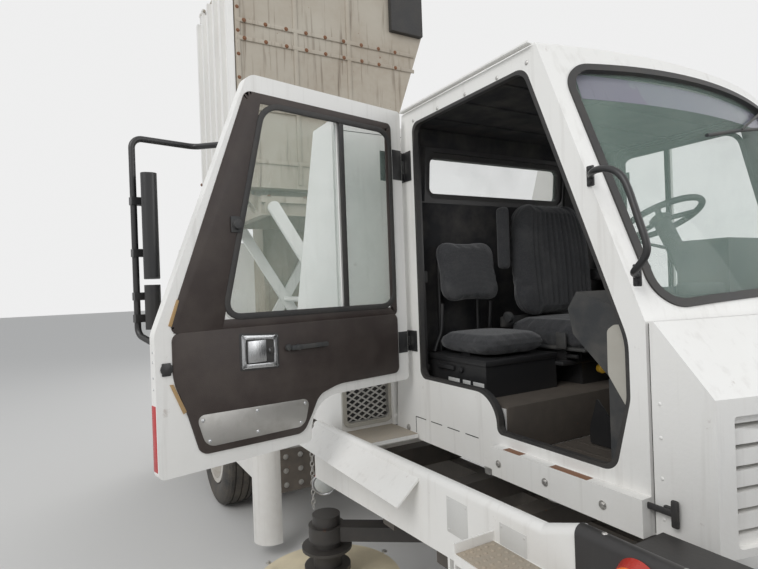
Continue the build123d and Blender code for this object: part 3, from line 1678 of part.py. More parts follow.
rising_face = arm_face((pivot_y, lower_pivot_height), (far_y, upper_pivot_height))
falling_face = arm_face((far_y, lower_pivot_height), (pivot_y, upper_pivot_height))
inner_offset = arm_gap + arm_thickness / 2
outer_offset = inner_offset + arm_thickness + arm_gap


def stub(face, direction, y, height, start, end, radius):
    """Pin or roller along X at (y, height), from start to end outboard of a table end"""
    low, high = sorted((face + direction * start, face + direction * end))
    with BuildPart() as pin:
        with BuildSketch(Plane.YZ.offset(low)):
            with Locations((y, height)):
                Circle(radius)
        extrude(amount=high - low)
    return pin.part


roller_radius = roller_diameter / 2
pin_radius = lift_pin_diameter / 2
roller_start = -(channel_depth - channel_wall - roller_clearance)
outer_pins = []
inner_pins = []
for face, direction in end_steps:
    reach = outer_offset
    outer_pins.append(stub(face, direction, pivot_y, lower_pivot_height, -channel_depth, reach, pin_radius))
    outer_pins.append(stub(face, direction, far_y, upper_pivot_height, roller_start, reach, pin_radius))
    outer_pins.append(stub(face, direction, far_y, upper_pivot_height, roller_start, -arm_gap / 2, roller_radius))
    inner_pins.append(stub(face, direction, pivot_y, upper_pivot_height, -channel_depth, inner_offset, pin_radius))
    inner_pins.append(stub(face, direction, far_y, lower_pivot_height, roller_start, inner_offset, pin_radius))
    inner_pins.append(stub(face, direction, far_y, lower_pivot_height, roller_start, -arm_gap / 2, roller_radius))
cross_length = table_front - table_rear

with BuildPart() as scissor_outer:
    for face, direction in end_steps:
        add(Pos(face + direction * outer_offset - arm_thickness / 2, 0, 0) * rising_face)
        extrude(amount=arm_thickness, dir=(1, 0, 0))
    add(outer_pins)
    with BuildSketch(Plane.YZ.offset(table_rear)):
        with Locations((pivot_y, lower_pivot_height)):
            Circle(pin_radius)
    extrude(amount=cross_length)
    with BuildSketch(Plane.YZ.offset(table_rear - 200)):
        with Locations((middle_y, middle_height)):
            Circle(pin_radius + pin_fit)
    extrude(amount=cross_length + 400, mode=Mode.SUBTRACT)
scissor_outer.part.label = "scissor_outer"
export_step(scissor_outer.part, "parts/scissor_outer.step")

lift_eye_y = middle_y - sin(lift_angle) * lug_drop
lift_eye_height = middle_height - cos(lift_angle) * lug_drop
middle_reach = outer_offset + arm_thickness / 2
with BuildPart() as scissor_inner:
    for face, direction in end_steps:
        add(Pos(face + direction * inner_offset - arm_thickness / 2, 0, 0) * falling_face)
        extrude(amount=arm_thickness, dir=(1, 0, 0))
    add(inner_pins)
    with BuildSketch(Plane.YZ.offset(table_rear - middle_reach)):
        with Locations((middle_y, middle_height)):
            Circle(pin_radius)
    extrude(amount=cross_length + 2 * middle_reach)
    for place in lift_cylinder_places:
        for step in (-1, 1):
            with BuildSketch(Plane.YZ.offset(place + step * lug_step - lug_wall / 2)):
                with Locations(((middle_y + lift_eye_y) / 2, (middle_height + lift_eye_height) / 2)):
                    SlotCenterToCenter(lug_drop, eye_diameter, rotation=90 - degrees(lift_angle))
            extrude(amount=lug_wall)
scissor_inner.part.label = "scissor_inner"
export_step(scissor_inner.part, "parts/scissor_inner.step")

table_channels = [channel_section(upper_pivot_height, base_half, step) for step in end_steps]
with BuildPart() as lift_table:
    for section in table_channels:
        add(Pos(0, table_half, 0) * section)
        extrude(amount=2 * table_half, dir=(0, -1, 0))
    for face, direction in end_steps:
        with Locations((face - direction * channel_depth / 2, pivot_y, upper_pivot_height)):
            Box(channel_depth, pivot_block, channel_height)
        cap_low = upper_pivot_height + base_half
        with Locations((face - direction * channel_depth / 2, 0, (cap_low + table_bottom + table_depth) / 2)):
            Box(channel_depth, 2 * table_half, table_bottom + table_depth - cap_low)
        with BuildSketch(Plane.YZ.offset(face - direction * channel_depth / 2 - channel_depth)):
            with Locations((pivot_y, upper_pivot_height)):
                Circle(pin_radius + pin_fit)
        extrude(amount=2 * channel_depth, mode=Mode.SUBTRACT)
    beam_length = cross_length - 2 * channel_depth
    for sign in (-1, 1):
        with Locations((
            (table_front + table_rear) / 2, sign * (table_half - side_beam_width / 2), table_bottom + table_depth / 2
        )):
            Box(beam_length, side_beam_width, table_depth)
    for place in lug_places:
        for step in (-1, 1):
            with BuildSketch(Plane.YZ.offset(place + step * (lug_thickness + arm_gap) - lug_thickness / 2 + 6)):
                with Locations((dump_pivot_y, dump_pivot_height)):
                    Circle(dump_bracket_radius)
                with BuildLine():
                    Polyline(
                        (dump_pivot_y - dump_bracket_radius, dump_pivot_height), (-table_half + 10, table_bottom + 20),
                        (-table_half + 10, table_bottom + table_depth), (dump_pivot_y + dump_bracket_radius, dump_pivot_height),
                        close=True,
                    )
                make_face()
            extrude(amount=lug_thickness - 12)
        with BuildSketch(Plane.YZ.offset(place - 1.5 * lug_thickness - arm_gap)):
            with Locations((dump_pivot_y, dump_pivot_height)):
                Circle(dump_pin_diameter / 2)
        extrude(amount=3 * lug_thickness + 2 * arm_gap)
    arm_end = table_half - side_beam_width
    for place in dump_cylinder_places:
        for step in (-1, 1):
            with BuildSketch(Plane.YZ.offset(place + step * lug_step - lug_wall / 2)):
                with Locations((dump_base_y, dump_base_height)):
                    Circle(eye_diameter / 2)
                with Locations(((dump_base_y + arm_end) / 2, dump_base_height)):
                    Rectangle(arm_end - dump_base_y, eye_diameter)
            extrude(amount=lug_wall)
        with BuildSketch(Plane.YZ.offset(place - lug_step)):
            with Locations((dump_base_y, dump_base_height)):
                Circle(cylinder_pin_diameter / 2)
        extrude(amount=2 * lug_step)
lift_table.part.label = "lift_table"
export_step(lift_table.part, "parts/lift_table.step")


# Lift and dump cylinders, each open at its rod's eye

def cylinder_pair(base, eye, places, closed_length):
    """Barrels and rods of a pair of cylinders from base to eye in the YZ plane, at the given places"""
    run = Vector(0, eye[0] - base[0], eye[1] - base[1])
    length = run.length
    neck = eye_diameter / 2 + 12
    gland_gap = 8
    with BuildPart() as barrels:
        for place in places:
            start = Plane((place, base[0], base[1]), x_dir=(1, 0, 0), z_dir=run)
            with BuildSketch(start.offset(neck)):
                Circle(barrel_diameter / 2)
                Circle(rod_diameter / 2 + pin_fit, mode=Mode.SUBTRACT)
            extrude(amount=closed_length - 2 * neck - gland_gap)
            with BuildSketch(start.offset(neck)):
                Circle(barrel_diameter / 2)
            extrude(amount=30)
            with BuildSketch(start):
                Rectangle(eye_width, 0.8 * eye_diameter)
            extrude(amount=neck)
            with BuildSketch(Plane.YZ.offset(place - eye_width / 2)):
                with Locations(base):
                    Circle(eye_diameter / 2)
            extrude(amount=eye_width)
            with BuildSketch(Plane.YZ.offset(place - eye_width)):
                with Locations(base):
                    Circle(cylinder_pin_diameter / 2 + pin_fit)
            extrude(amount=2 * eye_width, mode=Mode.SUBTRACT)
    with BuildPart() as rods:
        for place in places:
            end = Plane((place, eye[0], eye[1]), x_dir=(1, 0, 0), z_dir=-run)
            with BuildSketch(end.offset(neck)):
                Circle(rod_diameter / 2)
            extrude(amount=closed_length - 2 * neck - 30)
            with BuildSketch(end):
                Rectangle(eye_width, 0.5 * eye_diameter)
            extrude(amount=neck + 4)
            with BuildSketch(Plane.YZ.offset(place - eye_width / 2)):
                with Locations(eye):
                    Circle(eye_diameter / 2)
            extrude(amount=eye_width)
    return barrels.part, rods.part, length


lift_parts = cylinder_pair(
    (lift_base_y, lift_base_height), (lift_eye_y, lift_eye_height), lift_cylinder_places, lift_closed_length
)
with BuildPart() as lift_cylinders:
    add(lift_parts[0])
lift_cylinders.part.label = "lift_cylinders"
export_step(lift_cylinders.part, "parts/lift_cylinders.step")

with BuildPart() as lift_rods:
    add(lift_parts[1])
lift_rods.part.label = "lift_rods"
export_step(lift_rods.part, "parts/lift_rods.step")

dump_parts = cylinder_pair(
    (dump_base_y, dump_base_height), (dump_eye_y, dump_eye_height), dump_cylinder_places, dump_closed_length
)
with BuildPart() as dump_cylinders:
    add(dump_parts[0])
dump_cylinders.part.label = "dump_cylinders"
export_step(dump_cylinders.part, "parts/dump_cylinders.step")

with BuildPart() as dump_rods:
    add(dump_parts[1])
dump_rods.part.label = "dump_rods"
export_step(dump_rods.part, "parts/dump_rods.step")


# Side boxes ahead of the rear wheels, with their curved guard plates

bulge_x = box_front + guard_depth - guard_bulge
bulge_y = box_outer - guard_bulge

with BuildPart() as side_boxes:
    for sign in (-1, 1):
        with BuildSketch(Plane.XZ.offset(-sign * box_outer)):
            with BuildLine():
                Polyline(
                    (box_front, box_low), (box_front, box_high), (box_step, box_high), (box_step, box_rear_high),
                    (box_rear, box_rear_high), (box_rear, box_low), close=True,
                )
            make_face()
        extrude(amount=sign * (box_outer - box_inner))
        for place in (box_front - 80, box_rear + 80):
            with Locations((place, sign * (box_inner + rail_outer) / 2, rail_top - 60)):
                Box(60, box_inner - rail_outer, 60)
        with BuildSketch(Plane.XY.offset(guard_low)):
            with BuildLine():
                arc = ThreePointArc(
                    (box_front, sign * box_outer), (bulge_x, sign * bulge_y), (guard_end_x, sign * guard_end_y)
                )
                inner_arc = ThreePointArc(
                    (box_front, sign * (box_outer - guard_wall)),
                    (bulge_x - 0.7 * guard_wall, sign * (bulge_y - 0.7 * guard_wall)),
                    (guard_end_x - guard_wall, sign * guard_end_y),
                )
                Line(arc @ 0, inner_arc @ 0)
                Line(arc @ 1, inner_arc @ 1)
            make_face()
        extrude(amount=guard_high - guard_low)
side_boxes.part.label = "side_boxes"
export_step(side_boxes.part, "parts/side_boxes.step")


# Gutter brooms

for side, sign in SIDES:
    pivot = (gutter_pivot_x, sign * gutter_pivot_y)
    head = (gutter_x, sign * gutter_y)
    arm_run = hypot(head[0] - pivot[0], head[1] - pivot[1])
    arm_plane = Plane(
        (pivot[0], pivot[1], gutter_arm_height), x_dir=(head[0] - pivot[0], head[1] - pivot[1], 0), z_dir=(0, 0, 1)
    )
    with BuildPart() as gutter_arm:
        with BuildSketch(arm_plane):
            with Locations((arm_run / 2, 0)):
                Rectangle(arm_run, gutter_arm_width)
            Circle(gutter_post_radius + 22)
            with Locations((arm_run, 0)):
                Circle(90)
            Circle(gutter_post_radius + pin_fit, mode=Mode.SUBTRACT)
        extrude(amount=gutter_arm_depth)
        with Locations((head[0], head[1], (motor_low + motor_high) / 2)):
            Cylinder(motor_radius, motor_high - motor_low)
        with Locations((head[0], head[1], motor_low + 12)):
            Cylinder(motor_flange, 24)
        with Locations((head[0], head[1], motor_plate_height)):
            Cylinder(motor_plate_radius, 14)
    gutter_arm.part.label = f"gutter_arm_{side}"
    export_step(gutter_arm.part, f"parts/gutter_arm_{side}.step")

    with BuildPart() as gutter_broom:
        with BuildSketch(Plane.XZ) as broom_section:
            with BuildLine():
                Polyline(
                    (0, gutter_disc_height - 8), (0, motor_low - 6), (55, motor_low - 6), (55, gutter_disc_height + 8),
                    (gutter_plate_radius, gutter_disc_height + 8), (gutter_plate_radius, gutter_disc_height - 8),
                    (gutter_tip_radius, gutter_tip_height), (gutter_tip_radius - 150, gutter_tip_height),
                    (gutter_plate_radius - 110, gutter_disc_height - 8), close=True,
                )
            make_face()
        revolve(axis=Axis.Z)
    gutter_part = Pos(head[0], head[1], 0) * gutter_broom.part
    gutter_part.label = f"gutter_broom_{side}"
    export_step(gutter_part, f"parts/gutter_broom_{side}.step")


# Main broom, conveyor and rear body

with BuildPart() as main_broom:
    with BuildSketch(Plane.XZ.offset(broom_width / 2)):
        with Locations((broom_x, broom_height)):
            Circle(broom_diameter / 2)
    extrude(amount=-broom_width)
    with BuildSketch(Plane.XZ.offset(broom_width / 2 + 50)):
        with Locations((broom_x, broom_height)):
            Circle(broom_shaft_radius)
    extrude(amount=-broom_width - 100)
main_broom.part.label = "main_broom"
export_step(main_broom.part, "parts/main_broom.step")

with BuildPart() as conveyor:
    with BuildSketch(Plane.XZ.offset(conveyor_half)):
        with BuildLine():
            Polyline(
                (rear_body_front - 1, 260), (rear_body_front - 1, conveyor_top - 160), (rear_body_front + 150, conveyor_top),
                (conveyor_front, conveyor_top), (conveyor_front, 1230), (frame_rear - 60, 1060), (frame_rear - 60, 260),
                close=True,
            )
        make_face()
    extrude(amount=-2 * conveyor_half)
    with Locations((conveyor_front, 0, conveyor_top - 260)):
        Box(240, 2 * conveyor_half - 160, 300, mode=Mode.SUBTRACT)
conveyor.part.label = "conveyor"
export_step(conveyor.part, "parts/conveyor.step")

with BuildPart() as rear_body:
    with BuildSketch(Plane.XZ.offset(rear_body_half)):
        with BuildLine():
            Polyline(
                (rear_body_front - 2, rear_body_bottom), (rear_body_front - 2, rear_body_top),
                (rear_body_rear + 160, rear_body_top), (rear_body_rear, rear_body_top - 160),
                (rear_body_rear, rear_body_bottom), close=True,
            )
        make_face()
    extrude(amount=-2 * rear_body_half)
    with BuildSketch(Plane.XZ.offset(rear_body_half - rear_body_wall)):
        with BuildLine():
            Polyline(
                (rear_body_front - rear_body_wall - 2, rear_body_bottom - 1), (rear_body_front - rear_body_wall - 2, broom_hood_top),
                (rear_body_rear + rear_body_wall, broom_hood_top), (rear_body_rear + rear_body_wall, rear_body_bottom - 1),
                close=True,
            )
        make_face()
    extrude(amount=-2 * (rear_body_half - rear_body_wall), mode=Mode.SUBTRACT)
    for sign in (-1, 1):
        with Locations(((rear_body_front - 40 + link_front) / 2, sign * (conveyor_half + 55), rail_top + 190)):
            Box(link_front - rear_body_front + 40, 90, 100)
        with Locations((link_front - 50, sign * (conveyor_half + 30 + rail_gap / 2) / 2, rail_top + 75)):
            Box(90, conveyor_half + 30 - rail_gap / 2, 150)
        with Locations((broom_x, sign * (broom_width / 2 + 90), (broom_height + broom_hood_top) / 2)):
            Box(120, 30, broom_hood_top - broom_height + 60)
    with BuildSketch(Plane.XZ.offset(broom_width / 2 + 200)):
        with Locations((broom_x, broom_height)):
            Circle(broom_shaft_radius + pin_fit)
    extrude(amount=-broom_width - 400, mode=Mode.SUBTRACT)
rear_body.part.label = "rear_body"
export_step(rear_body.part, "parts/rear_body.step")
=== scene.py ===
"""Looks of a cab-forward street sweeper truck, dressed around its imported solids."""

import json
import logging
import math
from dataclasses import dataclass
from enum import Enum
from typing import Sequence

import bmesh
import bpy
from mathutils import Matrix, Vector

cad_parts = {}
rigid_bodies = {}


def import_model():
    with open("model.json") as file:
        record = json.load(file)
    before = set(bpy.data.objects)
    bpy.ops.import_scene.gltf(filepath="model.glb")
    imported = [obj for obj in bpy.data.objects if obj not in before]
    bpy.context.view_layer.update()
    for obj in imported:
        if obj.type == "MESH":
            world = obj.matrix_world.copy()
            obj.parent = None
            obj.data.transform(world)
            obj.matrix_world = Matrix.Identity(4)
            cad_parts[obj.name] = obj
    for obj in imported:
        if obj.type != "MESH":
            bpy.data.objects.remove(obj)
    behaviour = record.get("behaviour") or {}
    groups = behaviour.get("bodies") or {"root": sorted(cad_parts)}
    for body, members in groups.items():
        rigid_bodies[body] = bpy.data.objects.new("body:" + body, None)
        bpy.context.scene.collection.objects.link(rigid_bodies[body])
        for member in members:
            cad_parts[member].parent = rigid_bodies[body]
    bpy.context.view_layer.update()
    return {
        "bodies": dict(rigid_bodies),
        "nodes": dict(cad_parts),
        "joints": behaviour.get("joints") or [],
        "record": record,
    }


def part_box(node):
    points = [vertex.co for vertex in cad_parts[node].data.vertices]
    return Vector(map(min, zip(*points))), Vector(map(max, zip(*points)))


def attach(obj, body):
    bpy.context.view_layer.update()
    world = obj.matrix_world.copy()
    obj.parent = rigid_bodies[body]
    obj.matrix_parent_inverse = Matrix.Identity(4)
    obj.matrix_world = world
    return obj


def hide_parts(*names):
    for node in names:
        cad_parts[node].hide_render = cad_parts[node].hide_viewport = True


LOG = logging.getLogger("sweeper")
Colour = tuple[float, float, float]
Point = tuple[float, float, float]
Outline = tuple[tuple[float, float], ...]
Socket = bpy.types.NodeSocket

UP: Point = (0.0, 0.0, 1.0)
AHEAD: Point = (1.0, 0.0, 0.0)
HUB_HEIGHT = 0.5
RIM_ANGLE = 1.1
SMOOTH_ANGLE = 0.6
BANDS_PER_SCALE = 0.314
OWN_FINISH = {"cab_frame": "cab_paint", "main_broom": "broom_hair"}


class Side(Enum):
    """Side of the truck, with the sign of its Y."""

    RIGHT = -1
    LEFT = 1

    @property
    def tail(self) -> str:
        """The side's word in the names of pieces."""
        return self.name.lower()

    @property
    def out(self) -> Point:
        """The way outwards from the truck."""
        return (0.0, self.value, 0.0)

    def pair(self, near: float, far: float) -> tuple[float, float]:
        """Low and high Y of what lies between two distances from the middle.

        Args:
            near: Distance of one end.
            far: Distance of the other end.

        Returns:
            The low and the high Y.
        """
        low, high = sorted((self.value * near, self.value * far))
        return low, high


class Shader:
    """A small builder of node materials on Object coordinates."""

    def __init__(self, name: str) -> None:
        """Starts an empty material.

        Args:
            name: The material's name.
        """
        self.material = bpy.data.materials.new(name)
        self.material.use_nodes = True
        self.tree = self.material.node_tree
        self.tree.nodes.clear()
        self.output = self.tree.nodes.new("ShaderNodeOutputMaterial")
        self.surface = self.tree.nodes.new("ShaderNodeBsdfPrincipled")
        self.link(self.surface.outputs["BSDF"], self.output.inputs["Surface"])
        self.coords = self.tree.nodes.new("ShaderNodeTexCoord")
        self.bumps: Socket | None = None

    def link(self, source: Socket, target: Socket) -> None:
        """Joins two sockets."""
        self.tree.links.new(source, target)

    def set(self, **values: float | Sequence[float]) -> None:
        """Sets plain numbers or colours on the shader's own sockets.

        Args:
            **values: Socket names with underscores for blanks, and their values.
        """
        for name, value in values.items():
            socket = self.surface.inputs[name.replace("_", " ")]
            socket.default_value = (*value, 1.0) if socket.type == "RGBA" else value

    def stretched(self, scale: Point) -> Socket:
        """Object coordinates scaled per axis.

        Args:
            scale: Factor on each axis.

        Returns:
            The scaled vector socket.
        """
        node = self.tree.nodes.new("ShaderNodeMapping")
        node.inputs["Scale"].default_value = scale
        self.link(self.coords.outputs["Object"], node.inputs["Vector"])
        return node.outputs["Vector"]

    def noise(
        self, size: float, detail: float = 3.0, scale: Point = (1, 1, 1), rough: float = 0.55
    ) -> Socket:
        """Noise whose patches are about size metres wide.

        Args:
            size: Width of a patch in metres.
            detail: Octaves of detail.
            scale: Stretch per axis before the noise.
            rough: How strong the finer octaves are.

        Returns:
            The noise value socket.
        """
        node = self.tree.nodes.new("ShaderNodeTexNoise")
        node.inputs["Scale"].default_value = 1.0 / size
        node.inputs["Detail"].default_value = detail
        node.inputs["Roughness"].default_value = rough
        self.link(self.stretched(scale), node.inputs["Vector"])
        return node.outputs["Fac"]

    def cells(self, size: float) -> Socket:
        """Voronoi distance, for grain and pores.

        Args:
            size: Width of a cell in metres.

        Returns:
            The distance socket.
        """
        node = self.tree.nodes.new("ShaderNodeTexVoronoi")
        node.feature = "F1"
        node.inputs["Scale"].default_value = 1.0 / size
        self.link(self.stretched((1, 1, 1)), node.inputs["Vector"])
        return node.outputs["Distance"]

    def waves(self, size: float, axis: str) -> Socket:
        """Bands across one axis, one about every size metres.

        Args:
            size: Width of a band pair in metres.
            axis: X, Y or Z.

        Returns:
            The band value socket.
        """
        node = self.tree.nodes.new("ShaderNodeTexWave")
        node.bands_direction = axis
        node.inputs["Scale"].default_value = BANDS_PER_SCALE / size
        self.link(self.coords.outputs["Object"], node.inputs["Vector"])
        return node.outputs["Fac"]

    def part(self, axis: str) -> Socket:
        """One Object coordinate in metres.

        Args:
            axis: X, Y or Z.

        Returns:
            The coordinate's socket.
        """
        node = self.tree.nodes.new("ShaderNodeSeparateXYZ")
        self.link(self.coords.outputs["Object"], node.inputs[0])
        return node.outputs[axis]

    def span(
        self, value: Socket, low: float, high: float, to_low: float = 0.0, to_high: float = 1.0
    ) -> Socket:
        """Maps a range of a value to another, clamped.

        Args:
            value: The value's socket.
            low: Start of the range.
            high: End of the range.
            to_low: Result at the start.
            to_high: Result at the end.

        Returns:
            The mapped socket.
        """
        node = self.tree.nodes.new("ShaderNodeMapRange")
        node.inputs["From Min"].default_value = low
        node.inputs["From Max"].default_value = high
        node.inputs["To Min"].default_value = to_low
        node.inputs["To Max"].default_value = to_high
        self.link(value, node.inputs["Value"])
        return node.outputs["Result"]

    def sums(self, kind: str, left: Socket | float, right: Socket | float) -> Socket:
        """A Math node on two values.

        Args:
            kind: The operation, such as MULTIPLY.
            left: First value or socket.
            right: Second value or socket.

        Returns:
            The result's socket.
        """
        node = self.tree.nodes.new("ShaderNodeMath")
        node.operation = kind
        node.use_clamp = kind in ("ADD", "MULTIPLY")
        for socket, value in zip(node.inputs, (left, right)):
            if isinstance(value, Socket):
                self.link(value, socket)
            else:
                socket.default_value = value
        return node.outputs[0]

    def blend(self, mask: Socket, under: Socket | Colour, over: Socket | Colour) -> Socket:
        """Colour over another by a mask.

        Args:
            mask: Share of the upper colour.
            under: Colour or socket below.
            over: Colour or socket above.

        Returns:
            The mixed colour's socket.
        """
        node = self.tree.nodes.new("ShaderNodeMix")
        node.data_type = "RGBA"
        self.link(mask, node.inputs["Factor"])
        for socket, value in zip((node.inputs[6], node.inputs[7]), (under, over)):
            if isinstance(value, Socket):
                self.link(value, socket)
            else:
                socket.default_value = (*value, 1.0)
        return node.outputs[2]

    def bump(self, height: Socket, depth: float) -> None:
        """Adds a bump of some depth in metres.

        Args:
            height: Height from 0 to 1.
            depth: Depth in metres.
        """
        node = self.tree.nodes.new("ShaderNodeBump")
        node.inputs["Strength"].default_value = 1.0
        node.inputs["Distance"].default_value = depth
        self.link(height, node.inputs["Height"])
        if self.bumps is not None:
            self.link(self.bumps, node.inputs["Normal"])
        self.bumps = node.outputs["Normal"]
        self.link(self.bumps, self.surface.inputs["Normal"])

    def colour(self, socket: Socket) -> None:
        """Colours the surface."""
        self.link(socket, self.surface.inputs["Base Color"])

    def rough(self, socket: Socket) -> None:
        """Sets the roughness."""
        self.link(socket, self.surface.inputs["Roughness"])


@dataclass(frozen=True)
class LinedWalls:
    """Planes midway through the cab's walls, inside which the paint has the lining's colour."""

    side: float = 0.7640
    rear: float = 0.1857
    rear_lean: float = 0.0909
    front: float = 1.800
    cowl: float = 1.76
    rake: float = 0.394
    bow: float = 0.1763
    blur: float = 0.001

    def mask(self, s: Shader) -> Socket:
        """Share of the lining at each point: 1 inside the walls' middle, 0 outside.

        Args:
            s: The shader.

        Returns:
            The share's socket.
        """
        x, y, z = s.part("X"), s.part("Y"), s.part("Z")
        between = s.span(s.sums("ABSOLUTE", y, 0.0), self.side, self.side + self.blur, 1.0, 0.0)
        rear = s.sums("SUBTRACT", s.sums("SUBTRACT", x, s.sums("MULTIPLY", z, self.rear_lean)), self.rear)
        raked = s.sums("MULTIPLY", s.sums("MAXIMUM", s.sums("SUBTRACT", z, self.cowl), 0.0), self.rake)
        bowed = s.sums("MULTIPLY", s.sums("MULTIPLY", y, y), self.bow)
        front = s.sums("SUBTRACT", s.sums("SUBTRACT", s.sums("SUBTRACT", self.front, x), raked), bowed)
        ends = s.sums("MULTIPLY", between, s.span(rear, 0.0, self.blur))
        return s.sums("MULTIPLY", ends, s.span(front, 0.0, self.blur))


@dataclass(frozen=True)
class Paint:
    """Truck paint with road film that is heavier lower down, streaks, and chips."""

    name: str
    base: Colour
    film: Colour = (0.42, 0.35, 0.27)
    dirt: float = 0.35
    streaks: float = 0.3
    rust: float = 0.1
    gloss: float = 0.38
    low: float = 0.3
    high: float = 1.6
    lining: Colour | None = None

    def build(self) -> bpy.types.Material:
        """Builds the material.

        Returns:
            The finished material.
        """
        s = Shader(self.name)
        cloud = s.noise(0.55, 5.0)
        fine = s.noise(0.05, 4.0)
        runs = s.noise(0.035, 3.0, (1.0, 1.0, 0.06))
        tone = s.blend(s.span(s.noise(1.3, 2.0), 0.3, 0.7), self.base, tuple(0.93 * c for c in self.base))
        height = s.span(s.part("Z"), self.low, self.high, 1.0, 0.0)
        cloud = s.sums("MULTIPLY", cloud, 0.8)
        patch = s.span(s.sums("ADD", cloud, s.sums("MULTIPLY", height, 0.45)), 0.42, 1.05)
        film = s.sums("MULTIPLY", patch, s.span(fine, 0.2, 0.75, 0.55, 1.0))
        film = s.sums("MULTIPLY", film, self.dirt * 1.6)
        tone = s.blend(film, tone, self.film)
        streak = s.sums("MULTIPLY", s.span(runs, 0.56, 0.78), self.streaks)
        tone = s.blend(streak, tone, tuple(0.55 * c for c in self.film))
        spots = s.sums("MULTIPLY", s.span(s.noise(0.09, 6.0, rough=0.7), 0.66, 0.72), self.rust * 5.0)
        tone = s.blend(spots, tone, (0.17, 0.075, 0.035))
        s.colour(s.blend(LinedWalls().mask(s), tone, self.lining) if self.lining else tone)
        s.rough(s.span(s.sums("ADD", film, spots), 0.0, 0.6, self.gloss, 0.82))
        s.bump(s.noise(0.012, 2.0), 0.0004)
        s.bump(spots, 0.0006)
        s.set(Coat_Weight=0.08, Coat_Roughness=0.3)
        return s.material


@dataclass(frozen=True)
class Rubber:
    """Black rubber with grey dust in its pores."""

    name: str
    base: Colour = (0.022, 0.022, 0.023)
    dust: Colour = (0.22, 0.19, 0.15)
    amount: float = 0.3
    grain: float = 0.004

    def build(self) -> bpy.types.Material:
        """Builds the material.

        Returns:
            The finished material.
        """
        s = Shader(self.name)
        mask = s.sums("MULTIPLY", s.span(s.noise(0.16, 6.0), 0.35, 0.75), self.amount)
        fine = s.sums("MULTIPLY", s.span(s.noise(0.015, 3.0), 0.45, 0.8), self.amount * 0.6)
        mask = s.sums("ADD", mask, fine)
        s.colour(s.blend(mask, self.base, self.dust))
        s.rough(s.span(mask, 0.0, 0.5, 0.55, 0.9))
        s.bump(s.cells(self.grain), 0.0003)
        return s.material


@dataclass(frozen=True)
class Metal:
    """Bare metal, brushed along one axis, with stains."""

    name: str
    base: Colour = (0.62, 0.61, 0.59)
    brush: Point = (1.0, 60.0, 60.0)
    stain: Colour = (0.20, 0.17, 0.14)
    worn: float = 0.3
    rough: float = 0.32

    def build(self) -> bpy.types.Material:
        """Builds the material.

        Returns:
            The finished material.
        """
        s = Shader(self.name)
        hair = s.noise(0.05, 2.0, self.brush)
        mask = s.sums("MULTIPLY", s.span(s.noise(0.09, 5.0), 0.45, 0.75), self.worn)
        tone = s.blend(s.span(hair, 0.2, 0.8), tuple(0.8 * c for c in self.base), self.base)
        s.colour(s.blend(mask, tone, self.stain))
        s.rough(s.span(s.sums("ADD", mask, s.sums("MULTIPLY", hair, 0.3)), 0.0, 0.8, self.rough, 0.8))
        s.bump(hair, 0.00015)
        s.set(Metallic=0.9)
        return s.material


@dataclass(frozen=True)
class Plastic:
    """Moulded plastic with a fine leather-like grain and dust."""

    name: str
    base: Colour
    grain: float = 0.003
    depth: float = 0.0002
    rough: float = 0.6
    dust: float = 0.25

    def build(self) -> bpy.types.Material:
        """Builds the material.

        Returns:
            The finished material.
        """
        s = Shader(self.name)
        mask = s.sums("MULTIPLY", s.span(s.noise(0.12, 5.0), 0.4, 0.75), self.dust)
        s.colour(s.blend(mask, self.base, (0.27, 0.24, 0.20)))
        s.rough(s.span(mask, 0.0, 0.4, self.rough, 0.88))
        s.bump(s.cells(self.grain), self.depth)
        return s.material


@dataclass(frozen=True)
class Glazing:
    """Tinted safety glass with a thin film of dust in patches."""

    name: str
    tint: Colour = (0.50, 0.66, 0.58)
    dust: float = 0.10

    def build(self) -> bpy.types.Material:
        """Builds the material.

        Returns:
            The finished material.
        """
        s = Shader(self.name)
        mask = s.sums("MULTIPLY", s.span(s.noise(0.25, 5.0), 0.45, 0.85), self.dust)
        s.colour(s.blend(mask, self.tint, (0.60, 0.56, 0.48)))
        s.rough(s.span(mask, 0.0, 0.4, 0.02, 0.30))
        s.link(s.span(mask, 0.0, 0.5, 0.13, 0.45), s.surface.inputs["Alpha"])
        s.set(IOR=1.5, Specular_IOR_Level=0.4)
        s.material.surface_render_method = "BLENDED"
        return s.material


@dataclass(frozen=True)
class Cloth:
    """Dark woven seat fabric, worn pale in patches."""

    name: str
    base: Colour = (0.026, 0.027, 0.030)
    pale: Colour = (0.085, 0.083, 0.082)
    thread: float = 0.004

    def build(self) -> bpy.types.Material:
        """Builds the material.

        Returns:
            The finished material.
        """
        s = Shader(self.name)
        across = s.waves(self.thread, "Y")
        up = s.waves(self.thread, "Z")
        along = s.waves(self.thread, "X")
        lengthwise = s.sums("ADD", s.sums("MULTIPLY", up, 0.5), s.sums("MULTIPLY", along, 0.5))
        weave = s.sums("MULTIPLY", across, lengthwise)
        fleck = s.span(s.noise(0.006, 2.0), 0.35, 0.75)
        tone = s.blend(s.sums("MULTIPLY", fleck, 0.35), self.base, self.pale)
        worn = s.sums("MULTIPLY", s.span(s.noise(0.14, 4.0), 0.5, 0.8), 0.5)
        s.colour(s.blend(worn, tone, self.pale))
        s.set(Roughness=0.95, Sheen_Weight=0.25, Sheen_Roughness=0.5)
        s.bump(weave, 0.0006)
        s.bump(s.noise(0.03, 3.0), 0.001)
        return s.material


